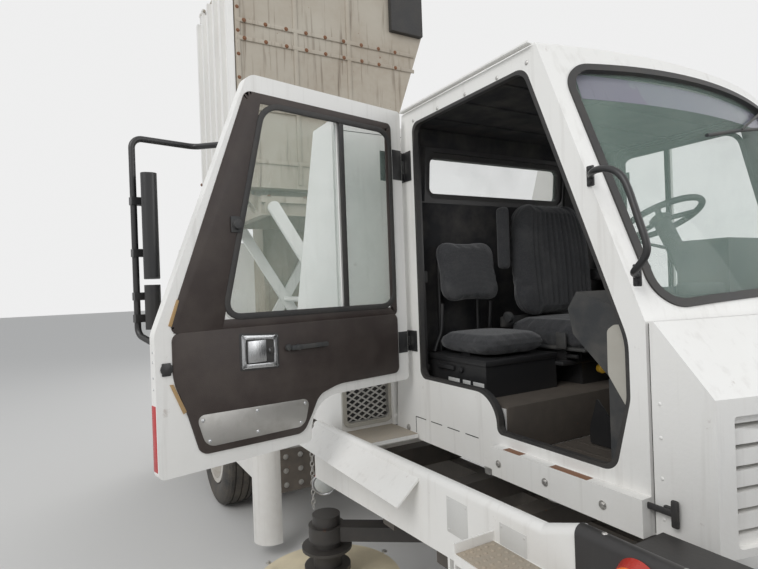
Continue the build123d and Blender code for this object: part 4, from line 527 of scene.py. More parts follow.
@dataclass(frozen=True)
class Bristle:
    """Bundled bristles, streaked along their length."""

    name: str
    base: Colour = (0.62, 0.50, 0.30)
    hair: float = 0.009
    flow: Point = (1.0, 1.0, 0.06)

    def build(self) -> bpy.types.Material:
        """Builds the material.

        Returns:
            The finished material.
        """
        s = Shader(self.name)
        hair = s.noise(self.hair, 2.0, self.flow)
        tone = s.blend(s.span(hair, 0.38, 0.62), tuple(0.30 * c for c in self.base), self.base)
        dust = s.sums("MULTIPLY", s.span(s.noise(0.12, 4.0), 0.4, 0.8), 0.4)
        s.colour(s.blend(dust, tone, (0.30, 0.25, 0.19)))
        s.set(Roughness=0.85)
        s.bump(hair, 0.002)
        return s.material


Finish = Paint | Rubber | Metal | Plastic | Glazing | Cloth | Bristle


class Finishes:
    """All finishes of the truck, each with the record's slot that it belongs to."""

    def __init__(self) -> None:
        """Builds every shared material once."""
        dark, iron, white = (0.020, 0.020, 0.021), (0.035, 0.033, 0.032), (0.83, 0.82, 0.79)
        road, soil, lining = (0.24, 0.20, 0.16), (0.27, 0.205, 0.145), (0.028, 0.026, 0.026)
        rusty = (0.34, 0.27, 0.20)
        slots: tuple[Finish, ...] = (
            Paint("white_paint", white, dirt=0.22, streaks=0.16, rust=0.06),
            Paint("beige_paint", (0.47, 0.43, 0.36), soil, 0.75, 1.0, rust=0.3, gloss=0.6, low=1.0, high=6.0),
            Paint("black_paint", dark, road, dirt=0.16, streaks=0.05, gloss=0.42),
            Paint("dark_steel", iron, road, dirt=0.5, streaks=0.2, rust=0.3, gloss=0.6),
            Paint("rim_white", (0.66, 0.65, 0.61), dirt=0.6, rust=0.2, low=-0.5, high=1.2),
            Metal("worn_steel"),
            Rubber("tyre_rubber", amount=0.5),
            Rubber("black_rubber", amount=0.12),
            Cloth("seat_fabric"),
            Plastic("black_plastic", (0.030, 0.032, 0.034)),
            Plastic("cream_broom", (0.78, 0.68, 0.48), grain=0.006, rough=0.6, dust=0.2),
            Glazing("tinted_glass"),
            Plastic("lamp_red", (0.45, 0.03, 0.02), grain=0.01, rough=0.2, dust=0.1),
            Paint("cast", iron, road, dirt=0.5, rust=0.4, gloss=0.65),
        )
        mat = Paint(
            "floor_mat", (0.055, 0.047, 0.040), (0.19, 0.155, 0.12),
            dirt=0.5, streaks=0.0, rust=0.2, gloss=0.9, low=0.0, high=3.0,
        )
        shelf = Paint(
            "dusty_shelf", (0.33, 0.31, 0.27), (0.40, 0.32, 0.23),
            dirt=0.8, streaks=0.1, rust=0.2, gloss=0.8, low=0.0, high=4.0,
        )
        small: tuple[tuple[Finish, str], ...] = (
            (Paint("cab_paint", white, dirt=0.22, streaks=0.16, rust=0.06, lining=lining), "white_paint"),
            (Plastic("vinyl", (0.030, 0.020, 0.017), 0.0035, 0.0003, rough=0.5, dust=0.10), "black_plastic"),
            (Metal("stainless", (0.50, 0.49, 0.47), worn=0.35, rough=0.36), "worn_steel"),
            (Metal("chrome", (0.60, 0.61, 0.62), (20.0, 20.0, 1.0), worn=0.15, rough=0.16), "worn_steel"),
            (Plastic("foam", (0.42, 0.27, 0.12), grain=0.002, rough=0.95, dust=0.4), "seat_fabric"),
            (Plastic("reflector", (0.50, 0.025, 0.03), grain=0.004, rough=0.25, dust=0.15), "lamp_red"),
            (Plastic("amber", (0.75, 0.16, 0.01), grain=0.008, rough=0.2, dust=0.1), "lamp_red"),
            (Metal("mirror_face", (0.62, 0.65, 0.66), (1, 1, 1), worn=0.12, rough=0.07), "worn_steel"),
            (Plastic("headliner", (0.018, 0.018, 0.020), grain=0.004, rough=0.95, dust=0.15), "seat_fabric"),
            (mat, "black_rubber"),
            (Paint("label", (0.62, 0.62, 0.60), dirt=0.4, streaks=0.1, rust=0.0), "white_paint"),
            # grey-beige panel; on the grille frames this colour is painted shade, the darker look of white
            # paint in shade on their forward faces
            (Plastic("grey_panel", (0.44, 0.42, 0.37), grain=0.004, rough=0.55, dust=0.25), "white_paint"),
            (shelf, "dark_steel"),
            (Bristle("broom_hair", (0.52, 0.43, 0.28), flow=(1.0, 0.06, 1.0)), "cream_broom"),
            (Bristle("bristle_dark", (0.055, 0.050, 0.046)), "cream_broom"),
            (Plastic("clear_lens", (0.60, 0.62, 0.60), 0.012, 0.001, rough=0.08, dust=0.2), "tinted_glass"),
            (Plastic("yellow", (0.72, 0.42, 0.02), rough=0.4), "black_plastic"),
            (Plastic("dial", (0.62, 0.56, 0.38), rough=0.3, dust=0.1), "black_plastic"),
            (Paint("rust_scar", (0.22, 0.10, 0.05), rusty, 0.3, rust=0.4, gloss=0.85), "dark_steel"),
            (Plastic("shade_strip", (0.16, 0.13, 0.20), rough=0.2, dust=0.05), "tinted_glass"),
        )
        self.made: dict[str, tuple[bpy.types.Material, str]] = {}
        for finish, slot in (*((finish, finish.name) for finish in slots), *small):
            self.made[finish.name] = (finish.build(), slot)

    def pick(self, name: str) -> tuple[bpy.types.Material, str]:
        """A finish and the slot it belongs to.

        Args:
            name: A slot's name, or that of a small piece's finish.

        Returns:
            The material and the record's slot.
        """
        return self.made[name]

    def dress(self, nodes: dict[str, bpy.types.Object], record: dict) -> None:
        """Gives each solid its finish.

        Args:
            nodes: The solids by name.
            record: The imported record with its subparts.
        """
        for row in record["subparts"]:
            node = nodes[row["node"]]
            node.data.materials.clear()
            finish = OWN_FINISH.get(row["node"], row["material_slot"])
            node.data.materials.append(self.pick(finish)[0])
        LOG.info("dressed %d solids", len(nodes))


def turned(axis: Vector) -> Matrix:
    """Turn that takes the Z axis to another one."""
    return Vector(axis).to_track_quat("Z", "Y").to_matrix().to_4x4()


class Mould:
    """One piece grown from mesh operators in a frame of its own, then set on a body."""

    def __init__(self, name: str, frame: Matrix | None = None) -> None:
        """Starts an empty piece.

        Args:
            name: The piece's name.
            frame: Where the piece's own axes lie in the truck.
        """
        self.name = name
        self.frame = frame or Matrix.Identity(4)
        self.mesh = bmesh.new()

    def join(self, part: bmesh.types.BMesh) -> None:
        """Adds a finished shape to the piece and frees it.

        Args:
            part: The shape, in the piece's own frame.
        """
        data = bpy.data.meshes.new("shape")
        part.to_mesh(data)
        part.free()
        self.mesh.from_mesh(data)
        bpy.data.meshes.remove(data)

    def block(self, low: Point, high: Point, edge: float = 0.002, segments: int = 2) -> "Mould":
        """A box between two corners with rounded edges.

        Args:
            low: One corner.
            high: The opposite corner.
            edge: Radius of the edges.
            segments: Steps round an edge.

        Returns:
            The piece.
        """
        size = Vector(high) - Vector(low)
        part = bmesh.new()
        place = Matrix.Translation((Vector(low) + Vector(high)) / 2) @ Matrix.Diagonal((*size, 1.0))
        bmesh.ops.create_cube(part, size=1.0, matrix=place)
        radius = min(edge, 0.45 * min(abs(value) for value in size))
        bmesh.ops.bevel(
            part, geom=part.edges[:], offset=radius, segments=segments, profile=0.5, affect="EDGES"
        )
        self.join(part)
        return self

    def rod(
        self, start: Point, end: Point, radius: float, tip: float | None = None, sides: int = 20,
        edge: float = 0.0,
    ) -> "Mould":
        """A round bar or cone between two points.

        Args:
            start: Middle of one end.
            end: Middle of the other end.
            radius: Radius at the start.
            tip: Radius at the end, if another.
            sides: Steps round the bar.
            edge: Radius of the end edges.

        Returns:
            The piece.
        """
        first, last = Vector(start), Vector(end)
        part = bmesh.new()
        place = Matrix.Translation((first + last) / 2) @ turned(last - first)
        far = radius if tip is None else tip
        bmesh.ops.create_cone(
            part, cap_ends=True, cap_tris=False, segments=sides, radius1=radius, radius2=far,
            depth=(last - first).length, matrix=place,
        )
        if edge:
            part.normal_update()
            rims = [line for line in part.edges if line.calc_face_angle(0.0) > RIM_ANGLE]
            bmesh.ops.bevel(part, geom=rims, offset=edge, segments=2, profile=0.5, affect="EDGES")
        self.join(part)
        return self

    def take(self, other: "Mould") -> "Mould":
        """Takes in another piece, set by that piece's frame.

        Args:
            other: The piece that becomes a part of this one.

        Returns:
            The piece.
        """
        bmesh.ops.transform(other.mesh, matrix=other.frame, verts=other.mesh.verts[:])
        self.join(other.mesh)
        return self

    def bolt(self, place: Point, normal: Point, radius: float = 0.009) -> "Mould":
        """A hexagon head on its washer.

        Args:
            place: Where it sits.
            normal: The way it points.
            radius: Half the head's width.

        Returns:
            The piece.
        """
        foot, way = Vector(place), Vector(normal).normalized()
        self.rod(foot - 0.3 * radius * way, foot + 0.2 * radius * way, 1.6 * radius)
        return self.rod(foot, foot + 0.85 * radius * way, radius, sides=6, edge=0.1 * radius)

    def rivet(self, place: Point, normal: Point, radius: float = 0.007) -> "Mould":
        """A low domed head.

        Args:
            place: Where it sits.
            normal: The way it points.
            radius: Radius of the head.

        Returns:
            The piece.
        """
        return self.dome(place, normal, radius, 0.45 * radius, 12)

    def dome(self, centre: Point, normal: Point, radius: float, height: float, sides: int = 24) -> "Mould":
        """A domed cap whose lower half is sunk.

        Args:
            centre: Middle of its rim.
            normal: The way it points.
            radius: Radius of the rim.
            height: How far it stands out.
            sides: Steps round the dome.

        Returns:
            The piece.
        """
        part = bmesh.new()
        squeeze = Matrix.Diagonal((1.0, 1.0, height / radius, 1.0))
        place = Matrix.Translation(centre) @ turned(normal) @ squeeze
        bmesh.ops.create_uvsphere(
            part, u_segments=sides, v_segments=max(8, sides // 2), radius=radius, matrix=place
        )
        self.join(part)
        return self

    def ring(
        self, centre: Point, axis: Point, radius: float, thick: float, steps: int = 48, sides: int = 10
    ) -> "Mould":
        """A round ring.

        Args:
            centre: Its middle.
            axis: The axis it goes round.
            radius: Radius of its middle line.
            thick: Thickness of its section.
            steps: Steps round the ring.
            sides: Steps round the section.

        Returns:
            The piece.
        """
        part = bmesh.new()
        upright = Matrix.Translation((radius, 0.0, 0.0)) @ Matrix.Rotation(math.pi / 2, 4, "X")
        place = Matrix.Translation(centre) @ turned(axis) @ upright
        bmesh.ops.create_circle(part, cap_ends=False, segments=sides, radius=thick / 2, matrix=place)
        section = [*part.verts, *part.edges]
        way = Vector(axis).normalized()
        bmesh.ops.spin(part, geom=section, cent=centre, axis=way, angle=math.tau, steps=steps, use_merge=True)
        self.join(part)
        return self

    def plate(
        self, outline: Outline, near: float, far: float, corner: float = 0.0, rim: float = 0.0,
        edge: float = 0.0012,
    ) -> "Mould":
        """A flat piece across the frame's Y, drawn in X and Z.

        Args:
            outline: Its corners.
            near: Y of one face.
            far: Y of the other face.
            corner: Radius of the corners.
            rim: Width of the border that stays, or 0 for a whole plate.
            edge: Radius of the edges.

        Returns:
            The piece.
        """
        part = bmesh.new()
        corners = [bmesh.ops.create_vert(part, co=(x, near, z))["vert"][0] for x, z in outline]
        bmesh.ops.contextual_create(part, geom=corners)
        if corner:
            bmesh.ops.bevel(
                part, geom=part.verts[:], offset=corner, segments=6, profile=0.5, affect="VERTICES",
                clamp_overlap=True,
            )
        if rim:
            inner = part.faces[:]
            bmesh.ops.inset_region(part, faces=inner, thickness=rim, use_boundary=True, use_even_offset=True)
            bmesh.ops.delete(part, geom=inner, context="FACES")
        grown = bmesh.ops.extrude_face_region(part, geom=part.faces[:])
        tops = [item for item in grown["geom"] if isinstance(item, bmesh.types.BMVert)]
        bmesh.ops.translate(part, vec=(0.0, far - near, 0.0), verts=tops)
        part.normal_update()
        bmesh.ops.recalc_face_normals(part, faces=part.faces[:])
        if edge:
            at_top = [line for line in part.edges if max(abs(end.co.y - far) for end in line.verts) < 1e-6]
            top = [line for line in at_top if line.calc_face_angle(0.0) > 0.8]
            bmesh.ops.bevel(part, geom=top, offset=edge, segments=2, profile=0.5, affect="EDGES")
        self.join(part)
        return self

    def repeated(self, moves: Sequence[Matrix]) -> "Mould":
        """Copies what there is to more places.

        Args:
            moves: Where each copy goes, the first one too.

        Returns:
            The piece.
        """
        data = bpy.data.meshes.new("pattern")
        self.mesh.to_mesh(data)
        self.mesh.clear()
        for move in moves:
            copy = data.copy()
            copy.transform(move)
            self.mesh.from_mesh(copy)
            bpy.data.meshes.remove(copy)
        bpy.data.meshes.remove(data)
        return self

    def set_on(self, finishes: Finishes, finish: str, body: str = "chassis") -> bpy.types.Object:
        """Makes the piece's object, with its finish, on a body.

        Args:
            finishes: The truck's finishes.
            finish: The finish's name.
            body: The body it rides on.

        Returns:
            The object.
        """
        bmesh.ops.transform(self.mesh, matrix=self.frame, verts=self.mesh.verts[:])
        bmesh.ops.recalc_face_normals(self.mesh, faces=self.mesh.faces[:])
        for face in self.mesh.faces:
            face.smooth = True
        for line in self.mesh.edges:
            line.smooth = line.calc_face_angle(0.0) < SMOOTH_ANGLE
        data = bpy.data.meshes.new(self.name)
        self.mesh.to_mesh(data)
        self.mesh.free()
        return rest(bpy.data.objects.new(self.name, data), finishes, finish, body)


def rest(item: bpy.types.Object, finishes: Finishes, finish: str, body: str) -> bpy.types.Object:
    """Links an object, gives it its finish and sets it on a body.

    Args:
        item: The new object.
        finishes: The truck's finishes.
        finish: The finish's name.
        body: The body it rides on.

    Returns:
        The object.
    """
    material, slot = finishes.pick(finish)
    item.data.materials.append(material)
    bpy.context.scene.collection.objects.link(item)
    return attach(item, body)


def pipe(
    name: str, points: Sequence[Point], diameter: float, finishes: Finishes, finish: str
) -> bpy.types.Object:
    """A bent bar on the chassis that follows control points.

    Args:
        name: The piece's name.
        points: The control points.
        diameter: Its diameter.
        finishes: The truck's finishes.
        finish: The finish's name.

    Returns:
        The object.
    """
    data = bpy.data.curves.new(name, "CURVE")
    data.dimensions = "3D"
    data.bevel_depth = diameter / 2
    data.bevel_resolution = 3
    data.resolution_u = 6
    data.use_fill_caps = True
    line = data.splines.new("NURBS")
    line.points.add(len(points) - 1)
    for target, point in zip(line.points, points):
        target.co = (*point, 1.0)
    line.order_u = 3
    line.use_endpoint_u = True
    return rest(bpy.data.objects.new(name, data), finishes, finish, "chassis")


@dataclass(frozen=True)
class DoorTrim:
    """Inner trim, latch, kick plate and edge fittings of one door, in the door's own frame."""

    side: Side
    swing: float
    hinge: tuple[float, float] = (0.430, 0.822)
    inner: float = 0.025
    trim: Outline = (
        (1.184, 1.752), (1.184, 1.585), (1.138, 1.460), (1.092, 1.300), (0.645, 1.288), (0.600, 1.360),
        (0.560, 1.435), (0.450, 1.466), (0.080, 1.466), (0.080, 1.754), (1.000, 1.754),
    )
    kick: Outline = ((1.108, 1.447), (0.612, 1.430), (0.640, 1.318), (1.072, 1.325))
    kick_screws: Outline = (
        (1.082, 1.425), (0.860, 1.422), (0.636, 1.413), (1.058, 1.345), (0.860, 1.340), (0.660, 1.336),
    )
    hinges: Outline = ((2.487, 0.074), (1.611, 0.052))
    thick: float = 0.045

    def frame(self) -> Matrix:
        """Own axes: X towards the free edge, Y inward from the inner face, Z up.

        Returns:
            The frame in the truck's axes.
        """
        sign = self.side.value
        cosine, sine = math.cos(self.swing), math.sin(self.swing)
        along = Vector((cosine, sign * sine, 0.0))
        inward = Vector((sine, -sign * cosine, 0.0))
        start = Vector((self.hinge[0], sign * self.hinge[1], 0.0)) + self.inner * inward
        turn = Matrix((along, inward, Vector(UP))).transposed().to_4x4()
        return Matrix.Translation(start) @ turn

    def build(self, finishes: Finishes) -> None:
        """Makes the door's fittings.

        Args:
            finishes: The truck's finishes.
        """
        tail = self.side.tail
        body = f"door_{tail}"
        frame = self.frame()

        def piece(name: str) -> Mould:
            """A new piece in the door's frame."""
            return Mould(f"{name}_{tail}", frame)

        panel = piece("door_trim").plate(self.trim, -0.001, 0.007, corner=0.03, edge=0.004)
        panel.set_on(finishes, "vinyl", body)
        around = ((0.080, 1.748), (1.184, 1.748), (1.184, 1.800), (0.862, 2.684), (0.080, 2.684))
        window = ((0.082, 1.784), (0.998, 1.784), (0.794, 2.656), (0.082, 2.656))
        border = piece("window_trim").plate(around, -0.001, 0.004, corner=0.03, rim=0.040, edge=0.001)
        wedge = ((0.990, 1.752), (1.176, 1.752), (1.176, 1.798), (0.846, 2.672), (0.790, 2.672))
        border.plate(wedge, -0.001, 0.0045, edge=0.002)
        border.set_on(finishes, "vinyl", body)
        seal = piece("window_seal").plate(window, -0.001, 0.008, corner=0.085, rim=0.024, edge=0.003)
        seal.block((0.376, -0.002, 1.786), (0.404, 0.006, 2.654), 0.003)
        seal.set_on(finishes, "black_rubber", body)
        plate = piece("kick_plate").plate(self.kick, 0.006, 0.0085, corner=0.035, edge=0.0006)
        plate.set_on(finishes, "stainless", body)
        screws = piece("kick_screws")
        for x, z in self.kick_screws:
            screws.rivet((x, 0.0083, z), (0.0, 1.0, 0.0), 0.0075)
        screws.set_on(finishes, "chrome", body)
        rim = ((0.920, 1.722), (0.762, 1.712), (0.762, 1.585), (0.920, 1.592))
        pocket = piece("latch_frame").plate(rim, 0.006, 0.0125, corner=0.008, rim=0.017, edge=0.002)
        floor = ((0.905, 1.708), (0.777, 1.700), (0.777, 1.598), (0.905, 1.604))
        pocket.plate(floor, 0.004, 0.0075, corner=0.004, edge=0.001)
        pocket.block((0.815, 0.007, 1.611), (0.896, 0.017, 1.698), 0.004)
        pocket.rod((0.792, 0.006, 1.655), (0.792, 0.018, 1.655), 0.011, edge=0.002)
        pocket.set_on(finishes, "chrome", body)
        around = ((0.928, 1.731), (0.754, 1.720), (0.754, 1.577), (0.928, 1.584))
        gasket = piece("latch_gasket").plate(around, 0.005, 0.0085, corner=0.010, edge=0.001)
        gasket.block((0.784, 0.017, 1.643), (0.800, 0.026, 1.667), 0.002)
        gasket.set_on(finishes, "black_rubber", body)
        grip = piece("pull_handle").rod((0.712, 0.006, 1.655), (0.712, 0.022, 1.655), 0.013, edge=0.002)
        grip.rod((0.530, 0.006, 1.650), (0.530, 0.020, 1.650), 0.010, edge=0.002)
        grip.block((0.515, 0.015, 1.642), (0.700, 0.026, 1.662), 0.004)
        grip.rod((0.665, 0.006, 1.652), (0.665, 0.028, 1.652), 0.012, edge=0.002)
        grip.set_on(finishes, "black_plastic", body)
        edges = piece("foam_strips")
        upper = ((1.194, 1.780), (1.183, 1.776), (1.153, 1.868), (1.161, 1.872))
        lower = ((1.196, 1.572), (1.184, 1.572), (1.139, 1.468), (1.151, 1.461))
        for foam in (upper, lower):
            edges.plate(foam, -0.001, 0.005, edge=0.001)
        edges.set_on(finishes, "foam", body)
        bolt = piece("edge_latch").block((1.236, -0.036, 1.585), (1.2435, -0.008, 1.660), 0.002)
        bolt.rod((1.205, 0.0, 1.628), (1.205, 0.005, 1.628), 0.022, edge=0.001)
        bolt.block((1.190, -0.001, 1.604), (1.222, 0.006, 1.650), 0.003)
        bolt.set_on(finishes, "black_paint", body)
        studs = piece("edge_screws")
        for z in (1.560, 1.600, 1.655, 1.690):
            studs.rivet((1.2435, -0.022, z), (1.0, 0.0, 0.0), 0.005)
        studs.set_on(finishes, "chrome", body)
        strip = piece("reflector_strip").block((1.2425, -0.044, 1.270), (1.2455, -0.008, 1.502), 0.0008)
        strip.block((1.200, -0.0455, 1.270), (1.2440, -0.0448, 1.502), 0.0003)
        strip.set_on(finishes, "reflector", body)
        handle = piece("outer_handle").block((0.860, -0.054, 1.600), (1.010, -0.045, 1.690), 0.006)
        handle.block((0.875, -0.060, 1.635), (0.990, -0.052, 1.660), 0.003)
        handle.set_on(finishes, "chrome", body)
        knob = piece("window_knob")
        knob.rod((0.920, 0.006, 2.151), (0.920, 0.026, 2.151), 0.022, 0.019, sides=10, edge=0.003)
        knob.block((0.905, 0.004, 2.120), (0.945, 0.012, 2.182), 0.003)
        knob.set_on(finishes, "black_plastic", body)
        self._hinges(body, finishes)

    def _hinges(self, body: str, finishes: Finishes) -> None:
        """Makes the black hinges: leaves and barrels on the door and on the pillar.

        Args:
            body: The door's body.
            finishes: The truck's finishes.
        """
        tail = self.side.tail
        sign = self.side.value
        axis = (self.hinge[0], sign * self.hinge[1])
        moving = Mould(f"door_hinges_{tail}", self.frame())
        fixed = Mould(f"pillar_hinges_{tail}")
        for middle, half in self.hinges:
            moving.block((0.014, -0.002, middle - half), (0.074, 0.0015, middle + half), 0.001)
            moving.block((0.016, -0.052, middle - half), (0.110, -0.044, middle + half), 0.003)
            low, high = middle - 0.3 * half, middle + 0.3 * half
            moving.rod((0.0, -0.025, low), (0.0, -0.025, high), 0.0135, edge=0.002)
            moving.block((0.0, -0.034, low), (0.020, -0.016, high), 0.002)
            for x in (0.048, 0.092):
                moving.bolt((x, -0.052, middle), (0.0, -1.0, 0.0), 0.010)
            fixed.block((0.436, sign * 0.7885, middle - half), (0.487, sign * 0.7945, middle + half), 0.002)
            fixed.block((0.345, sign * 0.7885, middle - half), (0.432, sign * 0.7975, middle + half), 0.003)
            for share in (-0.7, 0.7):
                low = middle + share * half - 0.25 * half
                high = middle + share * half + 0.25 * half
                fixed.rod((*axis, low), (*axis, high), 0.0135, edge=0.002)
                fixed.block((0.416, sign * 0.790, low), (0.430, axis[1], high), 0.002)
            for x in (0.365, 0.400):
                fixed.bolt((x, sign * 0.797, middle), self.side.out, 0.009)
        moving.set_on(finishes, "black_paint", body)
        fixed.set_on(finishes, "black_paint")


@dataclass(frozen=True)
class MirrorFaces:
    """Glass of one door's mirrors and the clamps on their tube."""

    side: Side
    heads: tuple[tuple[float, float, float], ...] = ((1.955, 0.400, 0.190), (1.760, 0.170, 0.160))
    reach: float = 1.155
    stand: float = 0.230
    turn: float = math.radians(19.0)
    depth: float = 0.058

    def build(self, door: DoorTrim, finishes: Finishes) -> None:
        """Makes the glass faces and clamps.

        Args:
            door: The door they hang on.
            finishes: The truck's finishes.
        """
        tail = self.side.tail
        body = f"door_{tail}"
        frame = door.frame()
        middle = frame @ Vector((self.reach, -self.stand - door.thick, 0.0))
        across = (frame.to_3x3() @ Vector((0.0, -1.0, 0.0))).normalized()
        across.rotate(Matrix.Rotation(self.side.value * self.turn, 3, "Z"))
        ahead = across.cross(Vector(UP))
        along = frame.to_3x3() @ Vector((1.0, 0.0, 0.0))
        ahead = -ahead if ahead.dot(along) > 0 else ahead
        turn = Matrix((across, ahead, Vector(UP))).transposed().to_4x4()
        head = Matrix.Translation((middle.x, middle.y, 0.0)) @ turn
        glass = Mould(f"mirror_glass_{tail}", head)
        border = Mould(f"mirror_rims_{tail}", head)
        for low, height, width in self.heads:
            half = width / 2 - 0.008
            face = self.depth / 2
            foot, top = low + 0.010, low + height - 0.010
            outline = ((-half, foot), (half, foot), (half, top), (-half, top))
            glass.plate(outline, face - 0.002, face + 0.0015, corner=0.018, edge=0.001)
            border.plate(outline, face - 0.002, face + 0.004, corner=0.018, rim=0.007, edge=0.0015)
        glass.set_on(finishes, "mirror_face", body)
        border.set_on(finishes, "black_rubber", body)
        bolts = Mould(f"mirror_bolts_{tail}", frame)
        for low, height, _ in self.heads:
            for share in (0.25, 0.75):
                place = (self.reach + 0.030, -self.stand - door.thick - 0.016, low + share * height)
                bolts.bolt(place, (0.0, -1.0, 0.0), 0.006)
        bolts.set_on(finishes, "worn_steel", body)


@dataclass(frozen=True)
class Glasshouse:
    """The raked, bowed windshield's surface and what lies on it."""

    front: float = 1.718
    cowl: float = 1.760
    rake: float = math.atan2(1.718 - 1.320, 2.770 - 1.760)
    bow: float = 0.110
    half: float = 0.790
    strip_half: float = 0.66
    strip_parts: int = 24
    rail: tuple[Point, ...] = (
        (1.545, 0.792, 2.230), (1.590, 0.850, 2.232), (1.660, 0.868, 2.228), (1.705, 0.870, 2.205),
        (1.731, 0.870, 2.165), (1.760, 0.870, 2.070), (1.788, 0.870, 1.985), (1.782, 0.868, 1.955),
        (1.752, 0.862, 1.925), (1.715, 0.840, 1.905), (1.700, 0.792, 1.900),
    )

    def at(self, across: float, height: float, out: float = 0.0) -> Vector:
        """Point of the surface.

        Args:
            across: Its Y.
            height: Its Z.
            out: Distance in front of the glass.

        Returns:
            The point.
        """
        back = (height - self.cowl) * math.tan(self.rake)
        x = self.front + self.bow * (1.0 - (across / self.half) ** 2) - back
        return Vector((x + out * math.cos(self.rake), across, height + out * math.sin(self.rake)))

    def build(self, finishes: Finishes) -> None:
        """Makes the wipers, the shade strip and the grab rails.

        Args:
            finishes: The truck's finishes.
        """
        blade = Mould("wiper")
        blade.rod(self.at(0.600, 2.655, -0.004), self.at(0.600, 2.655, 0.030), 0.016, edge=0.003)
        blade.rod(self.at(0.600, 2.655, 0.018), self.at(0.100, 2.466, 0.026), 0.007, 0.004, sides=10)
        blade.rod(self.at(-0.170, 2.414, 0.016), self.at(0.100, 2.466, 0.018), 0.007, sides=8)
        blade.rod(self.at(0.100, 2.466, 0.018), self.at(0.360, 2.513, 0.016), 0.007, sides=8)
        blade.set_on(finishes, "black_plastic")
        strip = Mould("shade_strip")
        wide = 2.0 * self.strip_half
        for place in range(self.strip_parts):
            left = -self.strip_half + wide * place / self.strip_parts
            right = -self.strip_half + wide * (place + 1) / self.strip_parts
            middle = self.at((left + right) / 2, 2.600, -0.022)
            slope = Matrix.Rotation(-self.rake, 4, "Y")
            lean = math.atan2(self.at(right, 2.6).x - self.at(left, 2.6).x, right - left)
            frame = Matrix.Translation(middle) @ Matrix.Rotation(-lean, 4, "Z") @ slope
            strip.take(Mould("strip", frame).block((-0.001, -0.0279, -0.055), (0.001, 0.0279, 0.055), 0.0))
        strip.set_on(finishes, "shade_strip")
        for side in Side:
            sign = side.value
            points = [(x, sign * y, z) for x, y, z in self.rail]
            pipe(f"grab_rail_{side.tail}", points, 0.022, finishes, "black_paint")
            feet = Mould(f"grab_rail_feet_{side.tail}")
            for x, z in ((1.545, 2.230), (1.700, 1.900)):
                feet.block((x - 0.014, sign * 0.789, z - 0.034), (x + 0.014, sign * 0.797, z + 0.034), 0.004)
                for step in (-0.023, 0.023):
                    feet.bolt((x, sign * 0.797, z + step), side.out, 0.006)
            feet.set_on(finishes, "black_paint")


@dataclass(frozen=True)
class CabShell:
    """Small things on the cab's outside: roof edge, rivets, slots, ledges and the nose's catches."""

    half: float = 0.790

    def build(self, finishes: Finishes) -> None:
        """Makes the cab's outer fittings.

        Args:
            finishes: The truck's finishes.
        """
        gutter = Mould("roof_gutter")
        for side in Side:
            sign = side.value
            gutter.block((0.430, sign * 0.789, 2.7575), (1.310, sign * 0.812, 2.7625), 0.002)
            gutter.block((0.430, sign * 0.808, 2.7575), (1.310, sign * 0.812, 2.7690), 0.0015)
        gutter.set_on(finishes, "white_paint")
        heads = Mould("cab_rivets")
        for side in Side:
            sign = side.value
            for x in (0.52, 0.72, 0.92, 1.12, 1.28):
                heads.rivet((x, sign * self.half, 2.700), side.out, 0.009)
            heads.bolt((0.381, sign * self.half, 1.161), side.out, 0.010)
            for x in (1.10, 1.34, 1.58):
                heads.bolt((x, sign * 0.835, 1.175), side.out, 0.009)
        heads.set_on(finishes, "worn_steel")
        slots = Mould("cab_slots")
        for side in Side:
            sign = side.value
            for count in range(4):
                start = 0.452 + 0.130 * count
                slots.block((start, sign * 0.788, 1.2285), (start + 0.088, sign * 0.7912, 1.2325), 0.0006)
            slots.block((0.450, sign * 0.788, 1.150), (0.4535, sign * 0.7912, 1.2310), 0.0006)
        slots.set_on(finishes, "black_rubber")
        scar = Mould("ledge_scars")
        for side in Side:
            sign = side.value
            scar.block((1.120, sign * 0.795, 1.2345), (1.210, sign * 0.830, 1.2356), 0.0004)
            scar.block((1.360, sign * 0.800, 1.2345), (1.520, sign * 0.8345, 1.2356), 0.0004)
        scar.set_on(finishes, "rust_scar")
        tread = Mould("sill_plates")
        for side in Side:
            sign = side.value
            tread.block((1.075, sign * 0.748, 1.2745), (1.590, sign * 0.788, 1.2770), 0.001)
            for x in (1.11, 1.33, 1.55):
                tread.rivet((x, sign * 0.768, 1.2768), UP, 0.006)
        tread.set_on(finishes, "stainless")
        for side in Side:
            sign = side.value
            catch = Mould(f"nose_catch_{side.tail}")
            catch.rod((1.690, sign * 0.789, 1.215), (1.690, sign * 0.815, 1.215), 0.014, edge=0.003)
            catch.block((1.684, sign * 0.803, 1.205), (1.800, sign * 0.812, 1.225), 0.004)
            catch.block((1.790, sign * 0.800, 1.175), (1.812, sign * 0.814, 1.255), 0.006)
            catch.block((1.762, sign * 0.789, 1.202), (1.790, sign * 0.803, 1.228), 0.003)
            catch.set_on(finishes, "black_rubber")
        roof = Mould("roof_fittings")
        roof.ring((0.700, 0.0, 2.781), UP, 0.052, 0.006)
        for turn in range(6):
            angle = turn * math.pi / 3
            roof.bolt((0.700 + 0.042 * math.cos(angle), 0.042 * math.sin(angle), 2.780), UP, 0.005)
        for y in (-0.55, 0.55):
            roof.rod((1.230, y, 2.765), (1.230, y, 2.783), 0.034, 0.026, edge=0.003)
        roof.set_on(finishes, "worn_steel")
        lights = Mould("roof_markers")
        for y in (-0.55, -0.18, 0.18, 0.55):
            lights.dome((1.255, y, 2.768), UP, 0.028, 0.024)
        lights.set_on(finishes, "amber")


